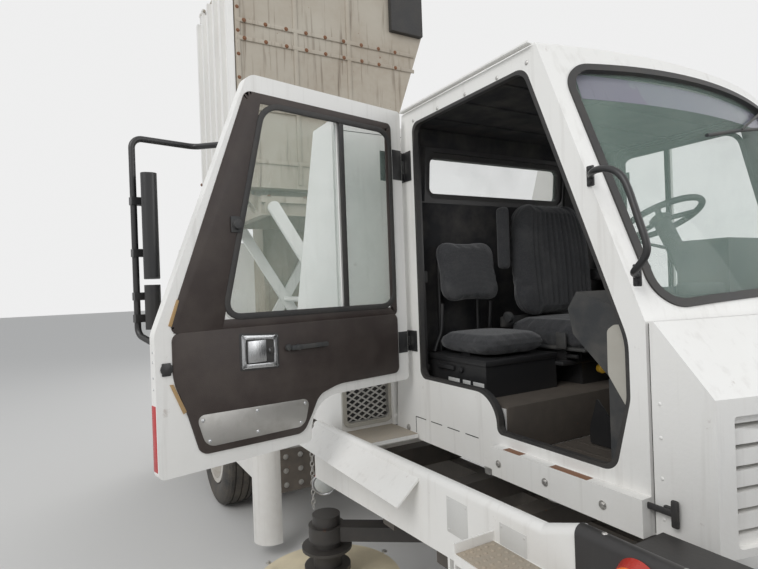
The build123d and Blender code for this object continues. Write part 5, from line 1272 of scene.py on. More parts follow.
@dataclass(frozen=True)
class CabInside:
    """Lining, floor covering, switches and small fittings inside the cab."""

    rear_lining: tuple[tuple[float, float, float, float], ...] = (
        (1.400, 2.320, -0.736, 0.736), (2.600, 2.690, -0.736, 0.736),
        (2.320, 2.600, -0.736, -0.672), (2.320, 2.600, 0.362, 0.736),
    )
    rear_lean: tuple[float, float] = (0.150, 1.650)
    speaker: Point = (1.560, -0.215, 1.862)
    console: Outline = (
        (1.548, 1.722), (1.575, 1.742), (1.700, 1.742), (1.690, 1.600),
        (1.634, 1.489), (1.610, 1.480), (1.546, 1.575),
    )
    stay: Outline = (
        (1.140, 1.182), (1.300, 1.182), (1.300, 1.240), (1.180, 1.380), (1.140, 1.250),
    )
    dials: tuple[Point, ...] = (
        (0.020, 1.935, 0.045), (0.140, 1.945, 0.045), (0.240, 1.915, 0.026),
        (0.240, 1.975, 0.026), (-0.075, 1.915, 0.026), (-0.075, 1.975, 0.026),
    )
    dial_face: float = 1.4275
    wheel: Point = (1.200, 0.120, 2.157)
    column: Point = (-0.422618, 0.0, 0.906308)

    def build(self, finishes: Finishes) -> None:
        """Makes the cab's inner fittings.

        Args:
            finishes: The truck's finishes.
        """
        lining = Mould("headliner").block((0.430, -0.736, 2.690), (1.290, 0.736, 2.7185), 0.010)
        for x in (0.62, 0.86, 1.10):
            lining.block((x - 0.008, -0.735, 2.684), (x + 0.008, 0.735, 2.692), 0.003)
        lining.set_on(finishes, "headliner")
        wall = Mould("rear_lining")
        lean, rise = self.rear_lean
        slope = Matrix.Rotation(math.atan2(lean, rise), 4, "Y")
        for low, high, left, right in self.rear_lining:
            middle = (low + high) / 2
            foot = Vector((0.3115 + lean * (middle - 1.120) / rise, (left + right) / 2, middle))
            span = (right - left) / 2 - 0.002
            tall = (high - low) / 2 - 0.002
            panel = Mould("lining", Matrix.Translation(foot) @ slope)
            wall.take(panel.block((0.0, -span, -tall), (0.008, span, tall), 0.003))
        wall.set_on(finishes, "headliner")
        lamp = Mould("dome_lamp")
        lamp.rod((1.180, -0.330, 2.692), (1.180, -0.330, 2.655), 0.075, 0.068, sides=36, edge=0.006)
        lamp.ring((1.180, -0.330, 2.656), UP, 0.060, 0.012)
        lamp.set_on(finishes, "black_plastic")
        speaker = Mould("dash_speaker")
        disc = Vector(self.speaker)
        speaker.rod(disc - Vector((0.0, 0.0, 0.040)), disc, 0.082, 0.078, sides=40, edge=0.006)
        for radius in (0.025, 0.045, 0.065):
            speaker.ring(disc, UP, radius, 0.005, steps=40, sides=8)
        speaker.set_on(finishes, "black_plastic")
        mat = Mould("floor_mat").block((1.056, -0.738, 1.168), (1.600, 0.738, 1.1775), 0.004)
        mat.block((0.420, -0.738, 1.366), (1.047, 0.738, 1.3745), 0.004)
        mat.block((1.047, -0.738, 1.178), (1.0555, 0.738, 1.3745), 0.003)
        for y in range(-7, 8):
            mat.block((1.080, 0.09 * y - 0.012, 1.176), (1.560, 0.09 * y + 0.012, 1.1800), 0.002)
        mat.set_on(finishes, "floor_mat")
        reel = Mould("belt_reel")
        reel.block((0.425, 0.700, 2.330), (0.495, 0.742, 2.395), 0.006)
        reel.rod((0.460, 0.690, 2.362), (0.460, 0.742, 2.362), 0.026, edge=0.003)
        reel.block((0.452, 0.690, 1.560), (0.462, 0.735, 2.340), 0.002)
        reel.set_on(finishes, "black_plastic")
        belt = Mould("jump_seat_belt").block((0.425, -0.735, 1.900), (0.470, -0.700, 1.960), 0.005)
        belt.block((0.440, -0.728, 1.480), (0.448, -0.700, 1.905), 0.002)
        belt.block((0.434, -0.732, 1.455), (0.454, -0.696, 1.485), 0.003)
        belt.set_on(finishes, "black_plastic")
        console = Mould("side_console")
        for side in Side:
            near, far = side.pair(0.7403, 0.7432)
            console.plate(self.console, near, far, corner=0.010, edge=0.0008)
        console.set_on(finishes, "grey_panel")
        stay = Mould("console_stay").plate(self.stay, -0.345, -0.337, corner=0.008, edge=0.001)
        stay.set_on(finishes, "black_paint")
        pedals = Mould("pedals")
        for y, width in ((0.020, 0.080), (0.235, 0.060)):
            pedals.block((1.400, y - width / 2, 1.235), (1.430, y + width / 2, 1.360), 0.008)
            pedals.rod((1.425, y, 1.340), (1.520, y, 1.560), 0.010, sides=12)
        pedals.block((1.300, 0.350, 1.176), (1.420, 0.430, 1.200), 0.006)
        pedals.set_on(finishes, "black_paint")
        gauge = Mould("seat_gauge_case")
        gauge.rod((0.930, 0.085, 1.545), (0.985, 0.060, 1.552), 0.040, sides=36, edge=0.004)
        gauge.set_on(finishes, "chrome")
        face = Mould("seat_gauge").dome((0.984, 0.0605, 1.5525), (0.9, -0.4, 0.12), 0.034, 0.006)
        face.set_on(finishes, "dial")
        knob = Mould("seat_knob").rod((0.960, -0.040, 1.452), (0.990, -0.050, 1.452), 0.022, edge=0.004)
        knob.block((0.930, 0.160, 1.405), (0.965, 0.195, 1.440), 0.004)
        knob.set_on(finishes, "yellow")
        levers = Mould("seat_levers")
        levers.block((0.560, -0.260, 1.480), (0.930, 0.400, 1.500), 0.006)
        levers.rod((0.900, -0.200, 1.520), (0.980, -0.215, 1.525), 0.010, edge=0.002)
        for y in (-0.20, 0.34):
            levers.block((0.560, y, 1.500), (0.900, y + 0.030, 1.556), 0.004)
        levers.set_on(finishes, "black_paint")
        self._dials(finishes)
        self._wheel(finishes)

    def _dials(self, finishes: Finishes) -> None:
        """Makes the dials, the switches and the column's two stalks.

        Args:
            finishes: The truck's finishes.
        """
        rims = Mould("dial_rims")
        faces = Mould("dial_faces")
        way = Vector((-1.0, 0.0, 0.0))
        for y, z, radius in self.dials:
            middle = Vector((self.dial_face, y, z))
            faces.rod(middle, middle + 0.003 * way, radius - 0.004, sides=28)
            rims.ring(middle + 0.003 * way, way, radius, 0.008, steps=32, sides=8)
        faces.set_on(finishes, "dial")
        rims.set_on(finishes, "chrome")
        keys = Mould("dash_switches")
        for row in range(2):
            for count in range(6):
                y = -0.640 + 0.055 * count
                z = 1.700 + 0.060 * row
                keys.block((1.398 + 0.02 * row, y, z), (1.418 + 0.02 * row, y + 0.036, z + 0.040), 0.004)
        keys.rod((1.255, 0.180, 2.020), (1.215, 0.330, 2.055), 0.008, 0.006, sides=12, edge=0.001)
        keys.rod((1.255, 0.060, 2.020), (1.215, -0.080, 2.050), 0.008, 0.006, sides=12, edge=0.001)
        keys.set_on(finishes, "black_plastic")

    def _wheel(self, finishes: Finishes) -> None:
        """Makes the steering wheel's hub cap, on the wheel's own body.

        Args:
            finishes: The truck's finishes.
        """
        centre = Vector(self.wheel)
        axis = Vector(self.column)
        hub = Mould("wheel_hub").dome(centre + 0.004 * axis, axis, 0.044, 0.022, 32)
        hub.ring(centre + 0.005 * axis, axis, 0.047, 0.006, steps=40)
        hub.set_on(finishes, "black_plastic", "steering_wheel")


@dataclass(frozen=True)
class Cushion:
    """A padded seat part: swollen between its seams, with sewn channels."""

    name: str
    low: Point
    high: Point
    lean: float = 0.0
    waist: float = 0.0
    corner: float = 0.09
    channels: int = 0
    crown: float = 0.018
    upright: bool = False
    grid: float = 0.0085
    pressure: float = 4.0
    frames: int = 12
    stitch: float = 0.005

    def build(self, finishes: Finishes) -> bpy.types.Object:
        """Makes the pad.

        Args:
            finishes: The truck's finishes.

        Returns:
            The finished pad.
        """
        size = Vector(self.high) - Vector(self.low)
        middle = (Vector(self.high) + Vector(self.low)) / 2
        mesh = bmesh.new()
        shrink = Vector((0.012, 0.012, 0.010))
        core = size - 2.0 * shrink
        bmesh.ops.create_cube(mesh, size=1.0, matrix=Matrix.Diagonal((*core, 1.0)))
        flat = 0 if self.upright else 2
        short = [line for line in mesh.edges if abs((line.verts[0].co - line.verts[1].co)[flat]) > 1e-6]
        bmesh.ops.bevel(mesh, geom=short, offset=self.corner, segments=8, profile=0.5, affect="EDGES")
        rims = [line for line in mesh.edges if line.calc_face_angle(0.0) > 1.0]
        bmesh.ops.bevel(
            mesh, geom=rims, offset=min(0.022, 0.3 * core[flat]), segments=3, profile=0.5, affect="EDGES"
        )
        data = bpy.data.meshes.new(self.name)
        mesh.to_mesh(data)
        mesh.free()
        item = bpy.data.objects.new(self.name, data)
        bpy.context.scene.collection.objects.link(item)
        self._remesh(item)
        self._inflate(item)
        self._sew(item, core, middle)
        material, slot = finishes.pick("seat_fabric")
        item.data.materials.append(material)
        return item

    def _remesh(self, item: bpy.types.Object) -> None:
        """Makes an even grid of small faces.

        Args:
            item: The pad.
        """
        made = item.modifiers.new("grid", "REMESH")
        made.mode = "VOXEL"
        made.voxel_size = self.grid
        self._apply(item)

    @staticmethod
    def _apply(item: bpy.types.Object) -> None:
        """Applies every modifier by taking the evaluated mesh.

        Args:
            item: The pad.
        """
        graph = bpy.context.evaluated_depsgraph_get()
        fresh = bpy.data.meshes.new_from_object(item.evaluated_get(graph))
        item.modifiers.clear()
        old = item.data
        item.data = fresh
        fresh.name = item.name
        bpy.data.meshes.remove(old)

    def _inflate(self, item: bpy.types.Object) -> None:
        """Swells the pad with cloth pressure and caps how far any point goes.

        Args:
            item: The pad.
        """
        start = [vertex.co.copy() for vertex in item.data.vertices]
        cloth = item.modifiers.new("pad", "CLOTH")
        cloth.settings.use_pressure = True
        cloth.settings.uniform_pressure_force = self.pressure
        cloth.settings.effector_weights.gravity = 0.0
        cloth.settings.quality = 4
        scene = bpy.context.scene
        for frame in range(1, self.frames + 1):
            scene.frame_set(frame)
        self._apply(item)
        scene.frame_set(1)
        for vertex, origin in zip(item.data.vertices, start):
            move = vertex.co - origin
            if move.length > self.crown:
                vertex.co = origin + self.crown * move.normalized()

    def _sew(self, item: bpy.types.Object, core: Vector, middle: Vector) -> None:
        """Sinks the channels and the piping line, shapes the outline and puts the pad in its place.

        Args:
            item: The pad.
            core: The pad's size before it swelled.
            middle: Where its middle goes.
        """
        mesh = bmesh.new()
        mesh.from_mesh(item.data)
        bmesh.ops.smooth_vert(
            mesh, verts=mesh.verts[:], factor=0.5, use_axis_x=True, use_axis_y=True, use_axis_z=True
        )
        mesh.normal_update()
        face = 0 if self.upright else 2
        tall = 2 if self.upright else 0
        for vertex in mesh.verts:
            spot = vertex.co
            across = spot.y / (core.y / 2)
            up = spot[tall] / (core[tall] / 2)
            front = max(0.0, vertex.normal[face])
            if self.channels:
                step = core.y * 0.62 / self.channels
                near = abs((spot.y / step + 0.5) % 1.0 - 0.5) * step
                inside = abs(across) < 0.64 and abs(up) < 0.80
                sink = 0.009 * math.exp(-((near / self.stitch) ** 2)) * front * (1.0 if inside else 0.0)
                seam = min(abs(abs(across) - 0.66) * core.y / 2, 1.0)
                if abs(up) < 0.84:
                    sink += 0.008 * math.exp(-((seam / self.stitch) ** 2)) * front
                spot[face] -= sink
            swell = self.crown * (1.0 - min(1.0, across * across)) * (1.0 - min(1.0, up * up)) * front
            spot[face] += 0.6 * swell
            piping = abs(spot[face]) < 0.30 * core[face] and abs(abs(spot[face]) - 0.18 * core[face]) < 0.004
            if piping:
                spot += -0.0035 * vertex.normal
            if self.waist:
                spot.y *= 1.0 - self.waist * max(0.0, up) ** 2.0 - 0.35 * self.waist * max(0.0, -up) ** 3.0
            if self.lean:
                spot.x -= self.lean * up / 2
        bmesh.ops.translate(mesh, vec=middle, verts=mesh.verts[:])
        for shape in mesh.faces:
            shape.smooth = True
        mesh.to_mesh(item.data)
        mesh.free()


@dataclass(frozen=True)
class Seats:
    """The driver's seat and the jump seat, with their metal and plastic parts."""

    driver: tuple[float, float] = (0.482, 0.080)
    jump: tuple[float, float] = (0.437, -0.473)
    leg: tuple[Point, ...] = (
        (0.055, 0.160, 1.790), (0.050, 0.160, 1.720), (0.040, 0.160, 1.640),
        (0.025, 0.178, 1.590), (0.020, 0.190, 1.548),
    )

    def build(self, finishes: Finishes) -> None:
        """Makes the pads, the armrest and the black box's fittings.

        Args:
            finishes: The truck's finishes.
        """
        rear, y = self.driver
        pads = (
            Cushion(
                "driver_cushion", (rear, y - 0.320, 1.560), (rear + 0.560, y + 0.320, 1.680),
                corner=0.11, crown=0.020, channels=7,
            ),
            Cushion(
                "driver_back", (rear + 0.0275, y - 0.300, 1.690), (rear + 0.1375, y + 0.300, 2.330),
                lean=0.055, waist=0.24, corner=0.10, crown=0.022, channels=9, upright=True,
            ),
        )
        back, middle = self.jump
        small = (
            Cushion(
                "jump_cushion", (back + 0.010, middle - 0.210, 1.560), (back + 0.450, middle + 0.210, 1.640),
                corner=0.085, crown=0.014,
            ),
            Cushion(
                "jump_back", (back + 0.0275, middle - 0.195, 1.786), (back + 0.1100, middle + 0.195, 2.119),
                lean=0.055, corner=0.07, crown=0.012, upright=True,
            ),
        )
        for group, node in ((pads, "driver_seat"), (small, "jump_seat")):
            for pad in group:
                item = pad.build(finishes)
                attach(item, "chassis")
                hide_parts(node)
        arm = Mould("armrest").block((0.640, 0.405, 1.905), (0.930, 0.462, 1.965), 0.024, 4)
        arm.block((0.560, 0.405, 1.880), (0.680, 0.440, 1.950), 0.012)
        arm.rod((0.600, 0.400, 1.910), (0.600, 0.470, 1.910), 0.026, edge=0.004)
        arm.set_on(finishes, "black_plastic")
        wing = Mould("folded_armrest").block((0.520, -0.285, 1.960), (0.585, -0.232, 2.290), 0.022, 4)
        wing.set_on(finishes, "seat_fabric")
        shell = Mould("seat_shell").block((0.475, -0.235, 1.640), (0.500, 0.395, 1.700), 0.008)
        shell.block((0.500, -0.225, 1.549), (1.030, 0.385, 1.566), 0.008)
        shell.block((0.880, -0.250, 1.560), (0.940, -0.238, 1.640), 0.005)
        shell.rod((0.560, -0.262, 1.700), (0.560, -0.236, 1.700), 0.030, edge=0.004)
        shell.set_on(finishes, "black_plastic")
        mid = back + 0.214
        box = Mould("seat_box_trim")
        box.block((mid - 0.236, middle - 0.2265, 1.516), (mid + 0.236, middle + 0.2265, 1.5425), 0.004)
        box.block((mid - 0.120, middle - 0.233, 1.478), (mid + 0.010, middle - 0.221, 1.500), 0.004)
        box.rod(
            (mid + 0.060, middle - 0.2200, 1.485), (mid + 0.060, middle - 0.234, 1.485), 0.014, edge=0.002
        )
        box.set_on(finishes, "black_paint")
        marks = Mould("box_labels")
        for start, width in ((0.605, 0.085), (0.715, 0.055), (0.790, 0.075)):
            marks.block((start, middle - 0.2214, 1.405), (start + width, middle - 0.2199, 1.440), 0.0004)
        marks.set_on(finishes, "label")
        for name, way in (("jump_leg_outer", -1), ("jump_leg_inner", 1)):
            points = [(back + x, middle + way * across, z) for x, across, z in self.leg]
            pipe(name, points, 0.020, finishes, "black_paint")


@dataclass(frozen=True)
class Behind:
    """The cabinets behind the cab: seams, latches, grilles and hood louvres."""

    inner: float = 0.660
    outer: float = 1.070
    louvres: int = 7

    def build(self, finishes: Finishes) -> None:
        """Makes the cabinets' fittings.

        Args:
            finishes: The truck's finishes.
        """
        for side in Side:
            sign = side.value
            tail = side.tail
            seams = Mould(f"cabinet_seams_{tail}")
            for y in (self.inner, self.outer):
                seams.block((0.2345, sign * y - 0.0015, 1.560), (0.2358, sign * y + 0.0015, 2.700), 0.0)
            low, high = side.pair(self.inner, self.outer)
            seams.block((0.2345, low, 2.699), (0.2358, high, 2.702), 0.0)
            seams.set_on(finishes, "black_rubber")
            latch = Mould(f"cabinet_latches_{tail}")
            for z in (1.700, 2.080, 2.520):
                latch.block(
                    (0.234, sign * 0.700 - 0.020, z - 0.040), (0.243, sign * 0.700 + 0.020, z + 0.040), 0.004
                )
                latch.rod((0.240, sign * 0.700, z), (0.248, sign * 0.700, z), 0.012, edge=0.002)
            for z in (1.640, 2.120, 2.620):
                latch.rod((0.240, sign * 1.078, z - 0.040), (0.240, sign * 1.078, z + 0.040), 0.007, sides=12)
            latch.set_on(finishes, "worn_steel")
            frame = Matrix.Translation((0.236, 0.0, 0.0)) @ Matrix.Rotation(math.pi / 2, 4, "Z")
            border = Mould(f"grille_frame_{tail}", frame)
            low, high = side.pair(0.800, 1.095)
            corners = ((low, 1.170), (high, 1.170), (high, 1.490), (low, 1.490))
            border.plate(corners, -0.006, 0.002, corner=0.045, rim=0.022, edge=0.002)
            # painted shade: the grille frame gets the grey-beige of white paint in shade instead of white
            border.set_on(finishes, "grey_panel")
            dark = Mould(f"grille_back_{tail}")
            dark.block((0.208, low + 0.020, 1.190), (0.211, high - 0.020, 1.470), 0.0)
            dark.set_on(finishes, "black_rubber")
            post = Mould(f"cabinet_post_{tail}")
            post.block((0.236, sign * 0.790 - 0.018, 1.150), (0.262, sign * 0.790 + 0.018, 1.500), 0.004)
            for z in (1.200, 1.460):
                post.bolt((0.262, sign * 0.790, z), AHEAD, 0.008)
            post.set_on(finishes, "white_paint")
            shelf = Mould(f"shelf_dust_{tail}")
            low, high = side.pair(0.802, 1.149)
            shelf.block((0.237, low, 1.1495), (0.478, high, 1.1530), 0.001)
            for x in (0.300, 0.440):
                shelf.bolt((x, sign * 1.10, 1.153), UP, 0.009)
            shelf.set_on(finishes, "dusty_shelf")
        low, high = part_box("engine_hood")
        vents = Mould("hood_louvres")
        for side in Side:
            y = high.y if side is Side.LEFT else low.y
            for count in range(self.louvres):
                z = high.z - 0.12 - 0.035 * count
                vents.block((low.x + 0.20, y - 0.004, z), (low.x + 0.60, y + 0.004, z + 0.012), 0.003)
        vents.set_on(finishes, "black_paint")


@dataclass(frozen=True)
class BeamTrim:
    """Plates, bolts and treads of the side beams and steps."""

    outer: float = 1.200
    plates: tuple[Point, ...] = ((1.300, 1.060, 1.180), (1.560, 1.040, 1.185))
    treads: Outline = ((1.290, 0.800), (1.240, 0.500))

    def build(self, finishes: Finishes) -> None:
        """Makes the beams' fittings.

        Args:
            finishes: The truck's finishes.
        """
        for side in Side:
            sign = side.value
            tail = side.tail
            plates = Mould(f"beam_plates_{tail}")
            face = sign * self.outer
            for x, low, high in self.plates:
                plates.block((x - 0.055, face - 0.001, low), (x + 0.055, face + 0.001, high), 0.0008)
                for dx in (-0.046, 0.046):
                    for z in (low + 0.010, high - 0.010):
                        plates.rivet((x + dx, sign * (self.outer + 0.001), z), side.out, 0.004)
            plates.set_on(finishes, "label")
            tread = Mould(f"upper_step_tread_{tail}")
            low, high = side.pair(1.206, 1.346)
            tread.block((1.482, low, 1.119), (1.768, high, 1.1225), 0.001)
            bumps = Mould("bumps").dome((1.500, low + 0.016, 1.1222), UP, 0.007, 0.004, 10)
            bumps.repeated(
                [Matrix.Translation((0.0281 * i, 0.027 * j, 0.0)) for i in range(10) for j in range(5)]
            )
            tread.take(bumps)
            tread.bolt((1.4755, sign * 1.262, 1.085), (-1.0, 0.0, 0.0), 0.009)
            tread.set_on(finishes, "dusty_shelf")
            for count, (start, height) in enumerate(self.treads):
                grip = Mould(f"lower_tread_{tail}_{count}")
                low, high = side.pair(1.008, 1.192)
                grip.block((start + 0.010, low, height - 0.001), (start + 0.290, high, height + 0.003), 0.001)
                x, y = start + 0.024, low + 0.016
                teeth = Mould("teeth").rod((x, y, height), (x, y, height + 0.008), 0.009, 0.006, sides=10)
                teeth.repeated(
                    [Matrix.Translation((0.0280 * i, 0.030 * j, 0.0)) for i in range(10) for j in range(6)]
                )
                grip.take(teeth)
                grip.set_on(finishes, "worn_steel")


@dataclass(frozen=True)
class FrontEnd:
    """Lamp lenses, mud flaps, bumper bolts, reflective tape and the nose's rivets."""

    headlamps: tuple[float, float] = (0.985, 1.080)
    turn_lamp: tuple[float, float] = (1.130, 1.146)
    flap: tuple[float, float] = (0.870, 1.190)
    tapes: int = 8

    def build(self, finishes: Finishes) -> None:
        """Makes the front end's fittings.

        Args:
            finishes: The truck's finishes.
        """
        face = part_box("front_bumper")[1].x
        lens = Mould("headlamp_lenses")
        rims = Mould("headlamp_rims")
        turnlens = Mould("turn_lenses")
        for side in Side:
            sign = side.value
            for y in self.headlamps:
                middle = Vector((face - 0.006, sign * y, 1.060))
                lens.dome(middle, AHEAD, 0.042, 0.014, 28)
                rims.ring(middle + Vector((0.003, 0.0, 0.0)), AHEAD, 0.046, 0.008, steps=36)
            low, high = side.pair(*self.turn_lamp)
            turnlens.block((face - 0.012, low, 1.005), (face + 0.004, high, 1.115), 0.003)
            low, high = side.pair(*self.flap)
            flap = Mould(f"mud_flap_{side.tail}")
            flap.block((1.792, low, 0.935), (1.800, high, 1.000), 0.003)
            for y in (0.900, 1.030, 1.160):
                flap.bolt((1.800, sign * y, 0.985), AHEAD, 0.007)
            flap.set_on(finishes, "black_rubber")
            marker = Mould(f"marker_lens_{side.tail}")
            middle = Vector((1.965, sign * 1.238, 1.213))
            marker.dome(middle, side.out, 0.047, 0.010, 36)
            raised = middle + Vector((0.0, sign * 0.0045, 0.0))
            for radius in (0.018, 0.034):
                marker.ring(raised, side.out, radius, 0.004, steps=36, sides=8)
            marker.set_on(finishes, "amber")
        lens.set_on(finishes, "clear_lens")
        rims.set_on(finishes, "chrome")
        turnlens.set_on(finishes, "amber")
        bolts = Mould("bumper_bolts")
        for y in (-0.56, -0.42, -0.28, 0.28, 0.42, 0.56):
            for z in (0.700, 0.860):
                bolts.bolt((face - 0.0005, y, z), AHEAD, 0.012)
        for side in Side:
            for x in (1.86, 2.06, 2.24, 2.42, 2.60):
                bolts.rivet((x, side.value * 1.185, 1.2825), UP, 0.007)
        bolts.set_on(finishes, "worn_steel")
        strips = Mould("apron_tape")
        for count in range(self.tapes):
            y = -0.70 + 0.20 * count
            strips.block((face - 0.001, y, 1.060), (face + 0.0008, y + 0.10, 1.110), 0.0003)
        strips.set_on(finishes, "reflector")
        seam = Mould("nose_rivets")
        for side in Side:
            for z in (1.180, 1.300, 1.420, 1.520):
                seam.rivet((1.755, side.value * 0.790, z), side.out, 0.006)
        seam.set_on(finishes, "white_paint")


@dataclass(frozen=True)
class HopperTrim:
    """Bands, bolts and edge rubber of the hopper, folds and lip of its door, and bolts of its lift."""

    front: float = -1.355
    rear: float = -2.425
    fold_pitch: float = (1.070 - 0.045) / 5
    bands: tuple[Point, ...] = (
        (3.828, -1.125, 0.500), (3.966, -1.125, 0.500), (2.890, -1.125, 0.100), (3.300, -1.125, 0.300),
    )

    def build(self, finishes: Finishes) -> None:
        """Makes the fittings.

        Args:
            finishes: The truck's finishes.
        """
        lines = Mould("hopper_bands")
        for z, y_low, y_high in self.bands:
            lines.block(
                (self.front - 0.002, y_low, z - 0.016), (self.front + 0.012, y_high, z + 0.016), 0.004
            )
        for y in (-1.110, -0.640, -0.160):
            lines.block((self.front - 0.002, y - 0.018, 2.720), (self.front + 0.010, y + 0.018, 4.540), 0.004)
        lines.set_on(finishes, "beige_paint", "hopper")
        heads = Mould("hopper_bolts")
        for y in range(9):
            for z in (3.828, 3.966):
                heads.bolt((self.front + 0.011, -1.060 + 0.170 * y, z), AHEAD, 0.010)
        for z in range(10):
            heads.bolt((self.front + 0.009, -1.110, 2.800 + 0.180 * z), AHEAD, 0.009)
        heads.set_on(finishes, "rust_scar", "hopper")
        rubber = Mould("hopper_stop")
        rubber.block((self.front - 0.002, 0.250, 4.140), (self.front + 0.050, 0.585, 4.500), 0.008)
        rubber.set_on(finishes, "black_rubber", "hopper")
        seal = Mould("dump_door_seal")
        door_low, door_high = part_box("dump_door")
        seal.block((door_low.x + 0.012, -1.1375, 2.842), (door_high.x - 0.012, -1.1310, 2.866), 0.003)
        seal.set_on(finishes, "black_rubber", "hopper")
        ribs = Mould("dump_door_folds")
        for count in range(5):
            x = self.rear + 0.0225 + self.fold_pitch * (count + 0.5)
            ribs.block((x - 0.012, -1.162, 2.850), (x + 0.012, -1.151, 4.330), 0.005)
        ribs.set_on(finishes, "white_paint", "dump_door")
        lip = Mould("dump_door_lip").block((door_low.x, -1.196, 2.829), (door_high.x, -1.152, 2.850), 0.006)
        for count in range(6):
            x = self.rear + 0.0225 + self.fold_pitch * count
            lip.bolt((x, -1.197, 2.880), (0.0, -1.0, 0.0), 0.009)
        lip.set_on(finishes, "rust_scar", "dump_door")
        lift = Mould("lift_bolts")
        for y in (-0.90, -0.60, -0.30, 0.0, 0.30, 0.60, 0.90):
            for x in (-1.374, -2.406):
                lift.bolt((x, y, 2.629), UP, 0.010)
        lift.set_on(finishes, "rust_scar", "lift_table")
        low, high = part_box("scissor_outer")
        caps = Mould("arm_caps")
        for x, way in ((high.x, 1.0), (low.x, -1.0)):
            caps.rod((x - 0.001 * way, -0.4111, 1.790), (x + 0.004 * way, -0.4111, 1.790), 0.030, edge=0.001)
        caps.set_on(finishes, "worn_steel", "scissor_outer")


@dataclass(frozen=True)
class WheelTrim:
    """Nuts, hub caps and side lines of the wheels."""

    axle: float = 2.225
    nuts: int = 10
    radius: float = 0.1675
    cap_bolts: int = 6
    side_lines: Outline = ((0.345, 0.020), (0.362, 0.014), (0.415, 0.006))

    def build(self, finishes: Finishes) -> None:
        """Makes the wheels' fittings.

        Args:
            finishes: The truck's finishes.
        """
        for rear in (False, True):
            for side in Side:
                self._wheel(side, rear, finishes)

    @staticmethod
    def _outer(node: str, side: Side) -> float:
        """Y of a solid's outer face.

        Args:
            node: The solid's name.
            side: The side it is on.

        Returns:
            The face's Y.
        """
        low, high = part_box(node)
        return high.y if side is Side.LEFT else low.y

    def _wheel(self, side: Side, rear: bool, finishes: Finishes) -> None:
        """Makes the fittings of one wheel, or of one pair of twin wheels.

        Args:
            side: Side of the truck.
            rear: Whether it is a pair of twin wheels.
            finishes: The truck's finishes.
        """
        sign, out = side.value, Vector(side.out)
        x = -self.axle if rear else self.axle
        body, rim, tyre = (
            ("rear_wheels", "rear_rims", "rear_tyres") if rear else ("front_wheel", "front_rim", "front_tyre")
        )
        body = f"{body}_{side.tail}"
        disc = self._outer(f"{rim}_{side.tail}", side) - sign * (0.175 if rear else 0.075)
        nuts = Mould(f"{body}_nuts")
        for count in range(self.nuts):
            turn = math.tau * count / self.nuts
            across, up = self.radius * math.cos(turn), self.radius * math.sin(turn)
            place = Vector((x + across, disc, HUB_HEIGHT + up))
            nuts.rod(place - 0.02 * out, place + 0.012 * out, 0.021)
            nuts.rod(place, place + 0.030 * out, 0.017, sides=6, edge=0.002)
            nuts.rod(place, place + 0.042 * out, 0.009, sides=12, edge=0.002)
        nuts.set_on(finishes, "rust_scar", body)
        cap = Mould(f"{body}_hub")
        root, tip = (x, disc - sign * 0.03, HUB_HEIGHT), (x, disc + sign * 0.060, HUB_HEIGHT)
        cap.rod(root, tip, 0.085, 0.078, sides=40, edge=0.006)
        cap.dome(tip, side.out, 0.060, 0.018, 36)
        for count in range(self.cap_bolts):
            turn = math.pi * count / 3
            place = (x + 0.066 * math.cos(turn), disc + sign * 0.0605, HUB_HEIGHT + 0.066 * math.sin(turn))
            cap.bolt(place, side.out, 0.006)
        cap.set_on(finishes, "cast", body)
        outer = self._outer(f"{tyre}_{side.tail}", side)
        lines = Mould(f"{body}_side_lines")
        for radius, depth in self.side_lines:
            lines.ring((x, outer - sign * depth, HUB_HEIGHT), (0, 1, 0), radius, 0.006, steps=96, sides=8)
        lines.set_on(finishes, "tyre_rubber", body)


